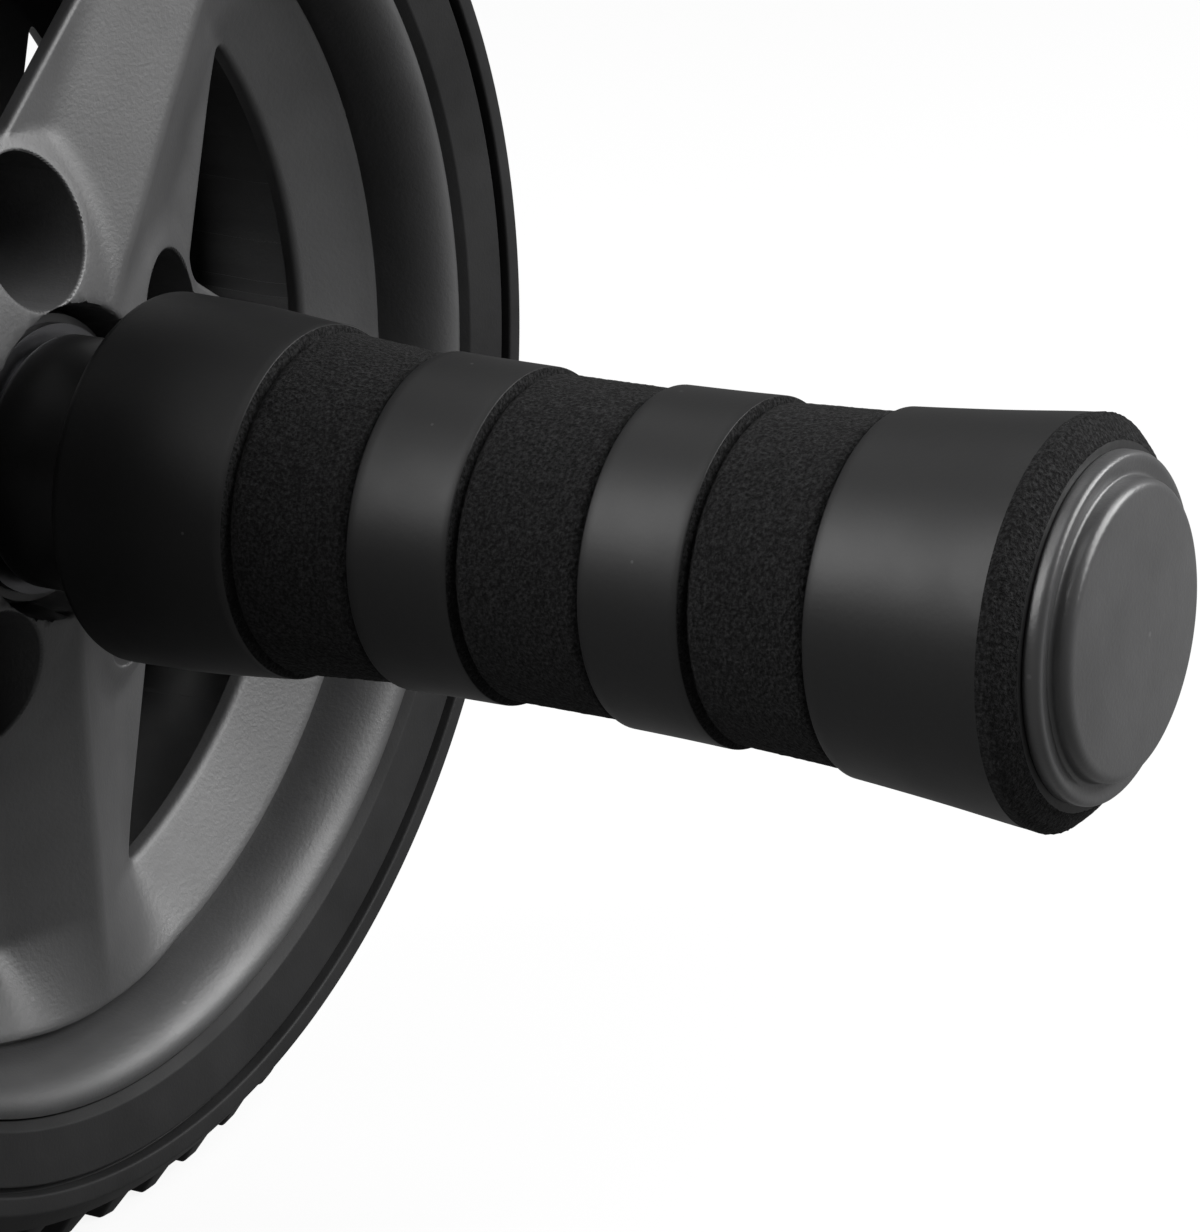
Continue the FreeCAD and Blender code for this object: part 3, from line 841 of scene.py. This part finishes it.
def back_height(points, wheel):
    """Height of a wheel half's inner side: rim, barrel and bosses reach the middle plane."""
    radii, heights = turned_face(wheel)
    radius = np.linalg.norm(points, axis=1)
    height = np.interp(radius, radii, heights) - wheel.web_thickness
    from_pocket = np.linalg.norm(points - pocket_centre(wheel), axis=1)
    height[from_pocket < wheel.pocket_radius + wheel.pocket_wall] = 0.0
    height[radius > half_high.x - wheel.rim_wall] = 0.0
    height[radius < wheel.hub_bore + wheel.barrel_wall] = 0.0
    return height


def half_sector_points(wheel, outline, spacing):
    """Points over half a spoke's sector, and the edges that must stay.

    Outlines come first, then rounded edges, turned rings and an even fill. A point too close to an
    earlier one is left out.
    """
    between = math.pi / wheel.spoke_count
    rim = half_high.x
    centre = pocket_centre(wheel)
    barrel = wheel.hub_bore + wheel.barrel_wall
    boss = wheel.pocket_radius + wheel.pocket_wall
    rounds = wheel.edge_round * ROUND_ROWS
    layers = [outline]
    pocket_radii = [wheel.pocket_radius, boss, boss + WALL_RUN]
    # The outline and these three circles keep their edges
    loops = 1 + len(pocket_radii)
    pocket_radii += [wheel.pocket_radius + POCKET_ROUND_SHARE * step for step in rounds]
    pocket_radii += list(wheel.pocket_radius * POCKET_FLOOR_ROWS)
    for radius in pocket_radii:
        count = max(int(math.pi * radius / (OUTLINE_SHARE * spacing)), 8)
        turns = between + math.pi * (1 + np.linspace(0.0, 1.0, count))
        layers.append(centre + radius * np.stack([np.cos(turns), np.sin(turns)], axis=1))
    layers.append(centre[None, :])
    run = np.gradient(outline, axis=0)
    run /= np.linalg.norm(run, axis=1)[:, None]
    # The outline runs from the apex out along the spoke, so its right side is the web
    outwards = np.stack([run[:, 1], -run[:, 0]], axis=1)
    for step in rounds:
        layers.append(outline + step * outwards)
    inner = list(np.linspace(wheel.hub_bore, barrel, 4)) + [barrel + WALL_RUN]
    inner += list(wheel.recess_radius + RECESS_ROWS)
    ring_start = wheel.ring_inner + FILL_PAST_RING
    outer = list(np.arange(ring_start, wheel.ring_outer - RING_ROW_MARGIN, RING_ROW_STEP))
    outer += list(wheel.ring_outer + RING_EDGE_ROWS)
    start = wheel.ring_outer + wheel.groove_width
    outer += list(start - GROOVE_ROWS)
    outer += list(start + (rim - BEAD_ROW_MARGIN - start) * np.linspace(0.0, 1.0, BEAD_ROW_COUNT) ** 2)
    outer += [rim - RIM_ROW_MARGIN, rim, rim - wheel.rim_wall, rim - wheel.rim_wall + WALL_RUN]
    for radii, widest in ((inner, wheel.recess_radius), (outer, rim)):
        turns = np.linspace(0.0, between, int(between * widest / spacing))
        for radius in sorted(radii):
            layers.append(radius * np.stack([np.cos(turns), np.sin(turns)], axis=1))
    exact = len(layers)
    fill = np.arange(wheel.hub_bore, ring_start, spacing)
    layers.append(np.stack([fill, np.zeros_like(fill)], axis=1))
    layers.append(fill[:, None] * np.array([math.cos(between), math.sin(between)]))
    for row, w in enumerate(np.arange(spacing, wheel.ring_inner, spacing * math.sqrt(0.75))):
        u = np.arange(wheel.hub_bore / 2, wheel.ring_inner + FILL_ROW_PAST_RING, spacing)
        u = u + (row % 2) * spacing / 2
        layers.append(np.stack([u, np.full_like(u, w)], axis=1))
    # A corner past the seam closes the half window
    past_seam = between + 0.1
    corner = wheel.ring_inner * np.array([math.cos(past_seam), math.sin(past_seam)])
    window = np.concatenate([outline, [corner]])
    kept = np.array(outline)
    edges = [(i, i + 1) for i in range(len(outline) - 1)]
    for depth, layer in enumerate(layers[1:], start=1):
        turn = np.arctan2(layer[:, 1], layer[:, 0])
        radius = np.linalg.norm(layer, axis=1)
        fits = (turn > -SLACK) & (turn < between + SLACK) & ~inside(layer, window)
        fits &= (radius > wheel.hub_bore - SLACK) & (radius < rim + SLACK)
        room = ROW_ROOM if depth < exact else FILL_ROOM_SHARE * spacing
        gap = np.sqrt(((layer[:, None, :] - kept[None, :, :]) ** 2).sum(axis=2)).min(axis=1)
        fits &= gap > room
        if depth < loops:
            place = len(kept) + np.cumsum(fits) - 1
            pairs = zip(range(len(layer) - 1), range(1, len(layer)))
            edges += [(int(place[i]), int(place[j])) for i, j in pairs if fits[i] and fits[j]]
        kept = np.concatenate([kept, layer[fits]])
    return kept, edges


def open_edges(triangles):
    """Edges that only one of the triangles uses."""
    uses = {}
    for corners in triangles:
        for a, b in zip(corners, np.roll(corners, -1)):
            key = (min(a, b), max(a, b))
            uses[key] = uses.get(key, 0) + 1
    return [edge for edge, count in uses.items() if count == 1]


def wheel_sector(wheel, spacing=0.0009):
    """Mesh of one spoke's sector of a wheel half, the spoke along +X, open only to its neighbours."""
    between = math.pi / wheel.spoke_count
    outline = window_outline(wheel, OUTLINE_SHARE * spacing)
    points, edges = half_sector_points(wheel, outline, spacing)
    made = delaunay_2d_cdt([Vector(p * MICROMETRES) for p in points], edges, [], 0, 1e-3)
    points = np.array([v[:] for v in made[0]]) / MICROMETRES
    triangles = np.array([f for f in made[2] if len(f) == 3])
    turn = np.arctan2(points[:, 1], points[:, 0])
    seam = (turn < ON_SEAM) * 1 + (turn > between - ON_SEAM) * 2
    on_bore = np.linalg.norm(points, axis=1) < wheel.hub_bore + ON_BORE
    # Triangles of the bore, of the convex window and of points along one seam are no part of the half
    empty = on_bore[triangles].all(axis=1) | (triangles < len(outline)).all(axis=1)
    along_seam = (seam[triangles] == seam[triangles][:, :1]).all(axis=1) & (seam[triangles][:, 0] > 0)
    triangles = triangles[~empty & ~along_seam]
    middles = points[triangles].mean(axis=1)
    in_pocket = np.linalg.norm(middles - pocket_centre(wheel), axis=1) < wheel.pocket_radius
    front = face_height(points, wheel, outline)
    back = back_height(points, wheel)
    count = len(points)
    faces = [tuple(t) for t in triangles[~in_pocket]]
    faces += [tuple(t[::-1] + count) for t in triangles]
    faces += [tuple(t + 2 * count) for t in triangles[in_pocket]]
    for part, level in ((triangles, count), (triangles[in_pocket], 2 * count)):
        for a, b in open_edges(part):
            if not (seam[a] and seam[a] == seam[b]):
                faces.append((a, b, b + level, a + level))
    levels = (front, back, np.full(count, wheel.pocket_floor))
    vertices = np.concatenate([np.stack([points[:, 0], y, points[:, 1]], axis=1) for y in levels])
    other = vertices * np.array([1.0, 1.0, -1.0])
    faces += [tuple(i + 3 * count for i in reversed(f)) for f in faces]
    vertices = np.concatenate([vertices, other])
    used = np.unique(np.concatenate([np.array(f) for f in faces]))
    place = np.full(len(vertices), -1)
    place[used] = np.arange(len(used))
    return vertices[used], [tuple(place[i] for i in f) for f in faces]


# Tyre, grips and small turned pieces

def tyre_outline(tyre):
    """Section of the tyre as a closed outline, from the bore's middle round both sides."""
    half = tyre_high.y
    bead = half - tyre.bead_inset
    side = half - tyre.side_inset
    groove_low = tyre.groove_radius - tyre.groove_width / 2
    groove_high = tyre.groove_radius + tyre.groove_width / 2
    lean = 0.0001
    corners = [
        (tyre.bore, 0.0, 0.0),
        (tyre.bore, bead, 0.0003),
        (tyre.bore + tyre.bead_step, bead + tyre.bead_step, 0.0006),
        (groove_low, side, 0.0003),
        (groove_low + lean, side - tyre.groove_depth, 0.0002),
        (groove_high - lean, side - tyre.groove_depth, 0.0002),
        (groove_high, half - lean, 0.0004),
        (tyre.shoulder, half, tyre.shoulder_round),
        (tyre.shoulder + tyre.shoulder_rise, half - tyre.shoulder_run, tyre.shoulder_round),
        (tyre.shoulder + tyre.shoulder_rise, 0.0, 0.0),
    ]
    near = rounded(corners, steps=5)
    far = [(radius, -y) for radius, y in reversed(near)]
    return near[:-1] + far[:-1]


def tread_bar(tyre):
    """One bar across the tread at +X, its edges rounded."""
    tread = tyre.shoulder + tyre.shoulder_rise
    low = tread - tyre.bar_root
    top = tread + tyre.bar_height
    slope = tyre.bar_end_run / tyre.bar_height
    section = ((low, tyre.bar_foot), (top, tyre.bar_top), (top, -tyre.bar_top), (low, -tyre.bar_foot))
    vertices = []
    for side in (-1, 1):
        for radius, width in section:
            reach = tyre_high.y - tyre.shoulder_run - slope * (radius - tread)
            vertices.append((radius, side * reach, width / 2))
    faces = [(0, 1, 2, 3), (4, 5, 6, 7), (0, 1, 5, 4), (1, 2, 6, 5), (2, 3, 7, 6), (3, 0, 4, 7)]
    work = bmesh.new()
    made = [work.verts.new(v) for v in vertices]
    for face in faces:
        work.faces.new([made[i] for i in face])
    bmesh.ops.recalc_face_normals(work, faces=work.faces)
    upper = [e for e in work.edges if max(v.co.x for v in e.verts) > tread]
    bmesh.ops.bevel(
        work, geom=upper, offset=tyre.bar_round, segments=3, profile=0.5, affect="EDGES", clamp_overlap=True
    )
    mesh = bpy.data.meshes.new("tread_bars")
    work.to_mesh(mesh)
    work.free()
    obj = bpy.data.objects.new("tread_bars", mesh)
    bpy.context.scene.collection.objects.link(obj)
    tidy(mesh)
    return obj


# Where the smooth bands start and end, as shares of the foam's length
BAND_SHARES = ((0.0, 0.189), (0.317, 0.426), (0.560, 0.667), (0.792, 0.981))
# The foam's radius at the start, middle and end of each band, as shares of its largest radius
BAND_RADIUS_SHARES = (
    (0.959, 0.948, 0.902),
    (0.851, 0.847, 0.845),
    (0.847, 0.853, 0.863),
    (0.895, 0.942, 1.0),
)
# Spacing of the foam's rings on a band, in a groove and on the outer edge
BAND_STEP = 0.0012
GROOVE_STEP = 0.00045
CHAMFER_STEP = 0.00022
# Extra rings beside a band's edge, in double runs of its step
EDGE_RINGS = np.array([-0.6, -0.35, -0.2, -0.1, 0.1, 0.2, 0.35, 0.6])
# Steps at which the waist is drawn
WAIST_STEPS = 600
# The foam counts as ground where less than this share of a band's height is left
GROUND_COVER = 0.93
# The outer edge drops by this within its first eighth, and then curves down by the power
CHAMFER_DROP = 0.0003
CHAMFER_POWER = 1.6
# Height and scale of the small crumbs against the large ones
SMALL_CRUMB = 0.6
SMALL_CRUMB_SCALE = 2.3


def foam_rings(grip):
    """Radius, y and whether ground, for each ring of the foam's outside from the wheel to the cap."""
    low, high = foam_low.y, foam_high.y
    length = high - low
    places = []
    radii = []
    for (start, end), shares in zip(BAND_SHARES, BAND_RADIUS_SHARES):
        places += [start, (start + end) / 2, end]
        radii += [share * foam_high.x for share in shares]
    edges = [low + length * share for band in BAND_SHARES for share in band][1:]
    chamfer = edges[-1]
    stops = [low] + edges + [high]
    ys = []
    for number, (start, end) in enumerate(zip(stops, stops[1:])):
        step = GROOVE_STEP if number % 2 else BAND_STEP
        if number == len(stops) - 2:
            step = CHAMFER_STEP
        ys += list(np.linspace(start, end, max(int((end - start) / step), 2)))
    near = EDGE_RINGS * 2 * grip.step_width
    for edge in edges[:-1]:
        ys += list(edge + near)
    ys += list(low + grip.inner_round * (1 - np.cos(np.linspace(0.0, math.pi / 2, 7))))
    ys = np.unique(np.round(ys, 6))
    fine = np.linspace(0.0, 1.0, WAIST_STEPS)
    waist = np.interp(fine, places, radii)
    waist = smoothed(waist, 12.0, 36, mode="reflect", reflect_type="odd")
    rings = []
    for y in ys:
        radius = float(np.interp((y - low) / length, fine, waist))
        cover = 1.0
        for number, edge in enumerate(edges[:-1]):
            step = 0.5 + 0.5 * math.tanh((y - edge) / (0.5 * grip.step_width))
            cover += step if number % 2 else -step
        ground = cover < GROUND_COVER
        nearest = min(abs(y - edge) for edge in edges[:-1])
        cut = grip.cut_depth * math.exp(-((nearest / grip.cut_width) ** 2))
        radius -= (grip.groove_depth + cut) * (1 - cover)
        from_end = y - low
        if from_end < grip.inner_round:
            radius -= rounding_drop(np.array([from_end]), grip.inner_round)[0]
        if y > chamfer:
            t = (y - chamfer) / (high - chamfer)
            fall = foam_high.x - grip.chamfer_radius
            radius = foam_high.x - CHAMFER_DROP * min(8 * t, 1.0)
            radius -= (fall - CHAMFER_DROP) * t ** CHAMFER_POWER
            ground = True
        rings.append((min(radius, foam_high.x), float(y), ground))
    return rings


def foam_grip(grip, segments=320):
    """Left foam grip as one closed mesh: skinned bands, ground grooves with real crumbs, and a bore."""
    rings = foam_rings(grip)
    outline = [(radius, y) for radius, y, _ in rings]
    outline += [(grip.bore, foam_high.y), (grip.bore, foam_low.y)]
    obj = lathe("left_foam", outline, segments, closed=True, sharp_deg=60.0)
    ground = [g for _, _, g in rings]
    for ring, rough in enumerate(ground):
        if not rough:
            continue
        for vertex in obj.data.vertices[ring * segments:(ring + 1) * segments]:
            out = Vector((vertex.co.x, 0.0, vertex.co.z)).normalized()
            place = vertex.co / grip.grain_size
            crumb = noise.noise(place) + SMALL_CRUMB * noise.noise(place * SMALL_CRUMB_SCALE)
            vertex.co += out * (grip.grain_height * crumb - 0.5 * grip.grain_height)
    obj.data.materials.append(foam_skin(grip.skin))
    obj.data.materials.append(ground_foam(grip.ground))
    for face in obj.data.polygons:
        ring = min(v // segments for v in face.vertices)
        top = max(v // segments for v in face.vertices)
        if top - ring == 1 and top < len(rings) and (ground[ring] or ground[top]):
            face.material_index = 1
    return obj


def cap_outline(cap):
    """Section of the left end cap, from the middle of its face round to the inside of its hollow stem."""
    end = foam_high.y
    rim_top = end + cap.rim_height
    face = cap_high.y
    valley = rim_top - cap.valley_depth
    hollow = cap.stem_radius - cap.stem_wall
    corners = [(0.0, face, 0.0)]
    for share in (0.3, 0.6):
        corners.append((share * cap.face_radius, face - share ** 2 * cap.face_crown, 0.001))
    corners += [
        (cap.face_radius, face - cap.face_crown, cap.face_round),
        (cap.valley_radius, valley, 0.0005),
        (cap_high.x, rim_top, cap.rim_round),
        (cap_high.x, end, 0.0003),
        (cap.stem_radius, end, 0.0),
        (cap.stem_radius, cap_low.y, 0.0008),
        (hollow, cap_low.y, 0.0),
        (hollow, valley, 0.0),
        (0.0, valley, 0.0),
    ]
    return rounded(corners, steps=8)


def screw_mesh(wheel, screw):
    """One screw at +X on the pocket circle, its head towards the right side, with a hexagon socket."""
    base = -wheel.pocket_floor
    top = base - screw.head_height
    tip = screw_high.y
    corners = [
        (0.0, top + screw.socket_depth, 0.0),
        (screw.socket_radius, top + screw.socket_depth, 0.0),
        (screw.socket_radius, top, 0.0),
        (screw.head_radius, top, screw.head_round),
        (screw.head_radius, base, 0.0001),
        (screw.shank_radius, base, 0.0),
        (screw.shank_radius, tip, 0.0003),
        (0.0, tip, 0.0),
    ]
    obj = lathe("screws", rounded(corners, steps=4), segments=36, closed=False)
    for vertex in obj.data.vertices:
        reach = math.hypot(vertex.co.x, vertex.co.z)
        if abs(reach - screw.socket_radius) < 1e-5 and vertex.co.y < base:
            turn = math.atan2(vertex.co.z, vertex.co.x) % (math.pi / 3) - math.pi / 6
            hexagon = math.cos(math.pi / 6) / math.cos(turn)
            vertex.co.x *= hexagon
            vertex.co.z *= hexagon
        vertex.co.x += wheel.pocket_circle
    return obj


# Operators

class ROLLER_OT_wheel_halves(bpy.types.Operator):
    """Makes the two dished wheel halves from one spoke's sector"""
    bl_idname = "roller.wheel_halves"
    bl_label = "Wheel halves"

    def execute(self, context):
        wheel = context.scene.roller.wheel
        vertices, faces = wheel_sector(wheel)
        left = new_object("left_half", vertices, faces)
        finish = moulded_plastic(
            "moulded_wheel", wheel.plastic, grain_size=0.00055, rough_low=0.42, rough_high=0.52, depth=0.0001
        )
        pattern(left, wheel.spoke_count, wheel.spoke_phase, weld=1e-6, material=finish)
        tidy(left.data)
        dress_pair(left, "right_half", "wheel", "wheel_plastic", "wheel_half")
        return {"FINISHED"}


class ROLLER_OT_tyre(bpy.types.Operator):
    """Makes the rubber tyre and the bars across its tread"""
    bl_idname = "roller.tyre"
    bl_label = "Tyre"

    def execute(self, context):
        tyre = context.scene.roller.tyre
        rubber = tread_rubber(tyre.rubber)
        body = lathe("tyre_body", tyre_outline(tyre), segments=360, closed=True, sharp_deg=50.0)
        body.data.materials.append(rubber)
        dress(body, "wheel", "tread_rubber", "tyre")
        bars = tread_bar(tyre)
        pattern(bars, tyre.bar_count, tyre.bar_phase, weld=0.0, material=rubber)
        dress(bars, "wheel", "tread_rubber")
        return {"FINISHED"}


class ROLLER_OT_screws(bpy.types.Operator):
    """Makes the screws that hold the wheel halves together"""
    bl_idname = "roller.screws"
    bl_label = "Screws"

    def execute(self, context):
        settings = context.scene.roller
        wheel = settings.wheel
        screws = screw_mesh(wheel, settings.screw)
        first = wheel.spoke_phase + math.pi / wheel.spoke_count
        pattern(screws, wheel.spoke_count, first, weld=0.0, material=black_finish())
        tidy(screws.data)
        dress(screws, "wheel", "screw_steel", "half_screws")
        return {"FINISHED"}


class ROLLER_OT_grips(bpy.types.Operator):
    """Makes the two waisted foam grips"""
    bl_idname = "roller.grips"
    bl_label = "Foam grips"

    def execute(self, context):
        left = foam_grip(context.scene.roller.grip)
        right = dress_pair(left, "right_foam", "handles", "grip_foam", "foam_grip")
        return {"FINISHED"}


class ROLLER_OT_caps(bpy.types.Operator):
    """Makes the two-tier end caps"""
    bl_idname = "roller.caps"
    bl_label = "End caps"

    def execute(self, context):
        cap = context.scene.roller.cap
        left = lathe("left_cap", cap_outline(cap), segments=256, closed=False)
        finish = moulded_plastic(
            "moulded_cap", cap.plastic, grain_size=0.0005, rough_low=0.28, rough_high=0.38, depth=0.00008
        )
        left.data.materials.append(finish)
        dress_pair(left, "right_cap", "handles", "cap_plastic", "end_cap")
        return {"FINISHED"}


class ROLLER_OT_collars(bpy.types.Operator):
    """Makes the spacer collars between hub and grips"""
    bl_idname = "roller.collars"
    bl_label = "Spacer collars"

    def execute(self, context):
        collar = context.scene.roller.collar
        corners = [
            (collar.bore, (collar_low.y + collar_high.y) / 2, 0.0),
            (collar.bore, collar_low.y, 0.0),
            (collar_high.x, collar_low.y, collar.edge_round),
            (collar_high.x, collar_high.y, collar.edge_round / 2),
            (collar.bore, collar_high.y, 0.0),
        ]
        left = lathe("left_collar", rounded(corners), segments=160, closed=True)
        left.data.materials.append(collar_shade_finish(collar))
        dress_pair(left, "right_collar", "handles", "collar_plastic", "spacer_collar")
        return {"FINISHED"}


class ROLLER_OT_inner_pieces(bpy.types.Operator):
    """Finishes the CAD pieces that stay: tube, bushes, washers, rings, cores and nuts"""
    bl_idname = "roller.inner_pieces"
    bl_label = "Inner pieces"

    def execute(self, context):
        zinc = plated_steel("turned_zinc", (0.55, 0.55, 0.56, 1.0), rough_low=0.28, rough_high=0.42)
        black = black_finish()
        # The bushes are near-black as painted shade in the hub's recess, not in their own colour
        bush_shade_colour = (0.020, 0.020, 0.021, 1.0)
        bearing = moulded_plastic(
            "moulded_bush", bush_shade_colour, grain_size=0.0003, rough_low=0.32, rough_high=0.44, depth=0.00002
        )
        dark = collar_shade_finish(context.scene.roller.collar)
        finishes = {"axle_tube": zinc, "half_nuts": black}
        for side in SIDES:
            # Washers and rings take the blackened steel as painted shade round the hub
            finishes["thrust_washer_" + side] = black
            finishes["retaining_ring_" + side] = black
            finishes["hub_bush_" + side] = bearing
            # Cores take the near-black collar plastic as painted shade between hub and grip
            finishes["grip_core_" + side] = dark
        for node, finish in finishes.items():
            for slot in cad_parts[node].material_slots:
                slot.material = finish
        return {"FINISHED"}


# Softboxes: name, place, length of the sides and power in watts
SOFTBOXES = (
    ("key_softbox", (0.385, -0.924, 0.739), 1.0, 24.0),
    ("side_softbox", (0.747, -0.732, 0.447), 0.35, 4.0),
    ("back_softbox", (-0.735, 0.514, 0.583), 0.7, 12.0),
    ("high_softbox", (-0.343, 0.228, 1.005), 0.5, 2.0),
    ("far_softbox", (0.315, 0.391, 0.953), 0.5, 1.0),
)
# Point at which they look
LIT_POINT = (0.0, -0.06, 0.0)
# Strength at which the surroundings light the object
SOFT_STRENGTH = 0.06
# How much of the white surroundings a reflection shows
REFLECTION_SHARE = 0.15
# How much of the floor is plain white when seen, the rest being paper that shows the shadow
WHITE_SHARE = 0.9
WHITE = (1.0, 1.0, 1.0, 1.0)


def softbox(name, place, side, power):
    """Soft square lamp that looks at the lit point."""
    lamp = bpy.data.lights.new(name, "AREA")
    lamp.shape = "SQUARE"
    lamp.size = side
    lamp.energy = power
    obj = bpy.data.objects.new(name, lamp)
    obj.location = place
    obj.rotation_euler = (Vector(LIT_POINT) - Vector(place)).to_track_quat("-Z", "Y").to_euler()
    bpy.context.scene.collection.objects.link(obj)


def seen_directly(tree):
    """1 for rays of the camera and through glass, a share for reflections, 0 for rays that light."""
    path = add(tree, "ShaderNodeLightPath")
    clear = math_node(tree, "MAXIMUM", path.outputs["Is Camera Ray"], path.outputs["Is Transmission Ray"])
    reflected = math_node(tree, "MULTIPLY", path.outputs["Is Glossy Ray"], REFLECTION_SHARE)
    return math_node(tree, "MAXIMUM", clear, reflected)


def paper_floor(stage):
    """Pale floor that is white to the camera and keeps the object's shadow."""
    material = bpy.data.materials.new("paper_floor")
    material.use_nodes = True
    tree = material.node_tree
    shader = next(n for n in tree.nodes if n.type == "BSDF_PRINCIPLED")
    output = next(n for n in tree.nodes if n.type == "OUTPUT_MATERIAL")
    path = add(tree, "ShaderNodeLightPath")
    tone = mix_colours(tree, path.outputs["Is Camera Ray"], stage.bounce, stage.paper)
    tree.links.new(tone, shader.inputs["Base Color"])
    shader.inputs["Roughness"].default_value = 0.9
    white = add(tree, "ShaderNodeEmission", Color=WHITE, Strength=1.0)
    share = math_node(tree, "MULTIPLY", seen_directly(tree), WHITE_SHARE)
    mix = add(tree, "ShaderNodeMixShader", Fac=share)
    tree.links.new(shader.outputs[0], mix.inputs[1])
    tree.links.new(white.outputs[0], mix.inputs[2])
    tree.links.new(mix.outputs[0], output.inputs["Surface"])
    return material


class ROLLER_OT_stage(bpy.types.Operator):
    """Sets the floor, the surroundings, the lamps and the camera"""
    bl_idname = "roller.stage"
    bl_label = "Stage"

    def execute(self, context):
        stage = context.scene.roller.stage
        scene = context.scene
        scene.view_settings.view_transform = "Standard"
        half = stage.floor_side / 2
        level = tyre_low.z
        corners = [(-half, -half, level), (half, -half, level), (half, half, level), (-half, half, level)]
        mesh = bpy.data.meshes.new("floor")
        mesh.from_pydata(corners, [], [(0, 1, 2, 3)])
        floor = bpy.data.objects.new("floor", mesh)
        scene.collection.objects.link(floor)
        mesh.materials.append(paper_floor(stage))
        world = bpy.data.worlds.new("surroundings")
        world.use_nodes = True
        tree = world.node_tree
        tree.nodes.clear()
        soft = add(tree, "ShaderNodeBackground", Color=stage.paper, Strength=SOFT_STRENGTH)
        white = add(tree, "ShaderNodeBackground", Color=WHITE, Strength=1.0)
        mix = add(tree, "ShaderNodeMixShader", Fac=seen_directly(tree))
        tree.links.new(soft.outputs[0], mix.inputs[1])
        tree.links.new(white.outputs[0], mix.inputs[2])
        output = add(tree, "ShaderNodeOutputWorld")
        tree.links.new(mix.outputs[0], output.inputs["Surface"])
        scene.world = world
        for name, place, side, power in SOFTBOXES:
            softbox(name, place, side, power)
        lens = bpy.data.cameras.new("camera")
        lens.sensor_width = 36.0
        lens.lens = stage.camera_lens
        camera = bpy.data.objects.new("camera", lens)
        camera.location = stage.camera_place
        camera.rotation_euler = stage.camera_turn
        scene.collection.objects.link(camera)
        scene.camera = camera
        return {"FINISHED"}


PIECES = (
    ROLLER_OT_wheel_halves,
    ROLLER_OT_tyre,
    ROLLER_OT_screws,
    ROLLER_OT_grips,
    ROLLER_OT_caps,
    ROLLER_OT_collars,
    ROLLER_OT_inner_pieces,
    ROLLER_OT_stage,
)


class ROLLER_PT_panel(bpy.types.Panel):
    """Sidebar panel with the roller's pieces in the order in which they are made"""
    bl_idname = "ROLLER_PT_panel"
    bl_label = "Ab wheel roller"
    bl_space_type = "VIEW_3D"
    bl_region_type = "UI"
    bl_category = "Roller"

    def draw(self, context):
        for piece in PIECES:
            self.layout.operator(piece.bl_idname)


CLASSES = (
    WheelSettings,
    TyreSettings,
    GripSettings,
    CapSettings,
    CollarSettings,
    ScrewSettings,
    StageSettings,
    RollerSettings,
    *PIECES,
    ROLLER_PT_panel,
)


def register():
    for cls in CLASSES:
        bpy.utils.register_class(cls)
    bpy.types.Scene.roller = PointerProperty(type=RollerSettings)


def unregister():
    del bpy.types.Scene.roller
    for cls in reversed(CLASSES):
        bpy.utils.unregister_class(cls)


def main():
    register()
    bpy.ops.roller.wheel_halves()
    bpy.ops.roller.tyre()
    bpy.ops.roller.screws()
    bpy.ops.roller.grips()
    bpy.ops.roller.caps()
    bpy.ops.roller.collars()
    bpy.ops.roller.inner_pieces()
    bpy.ops.roller.stage()


if __name__ == "__main__":
    main()
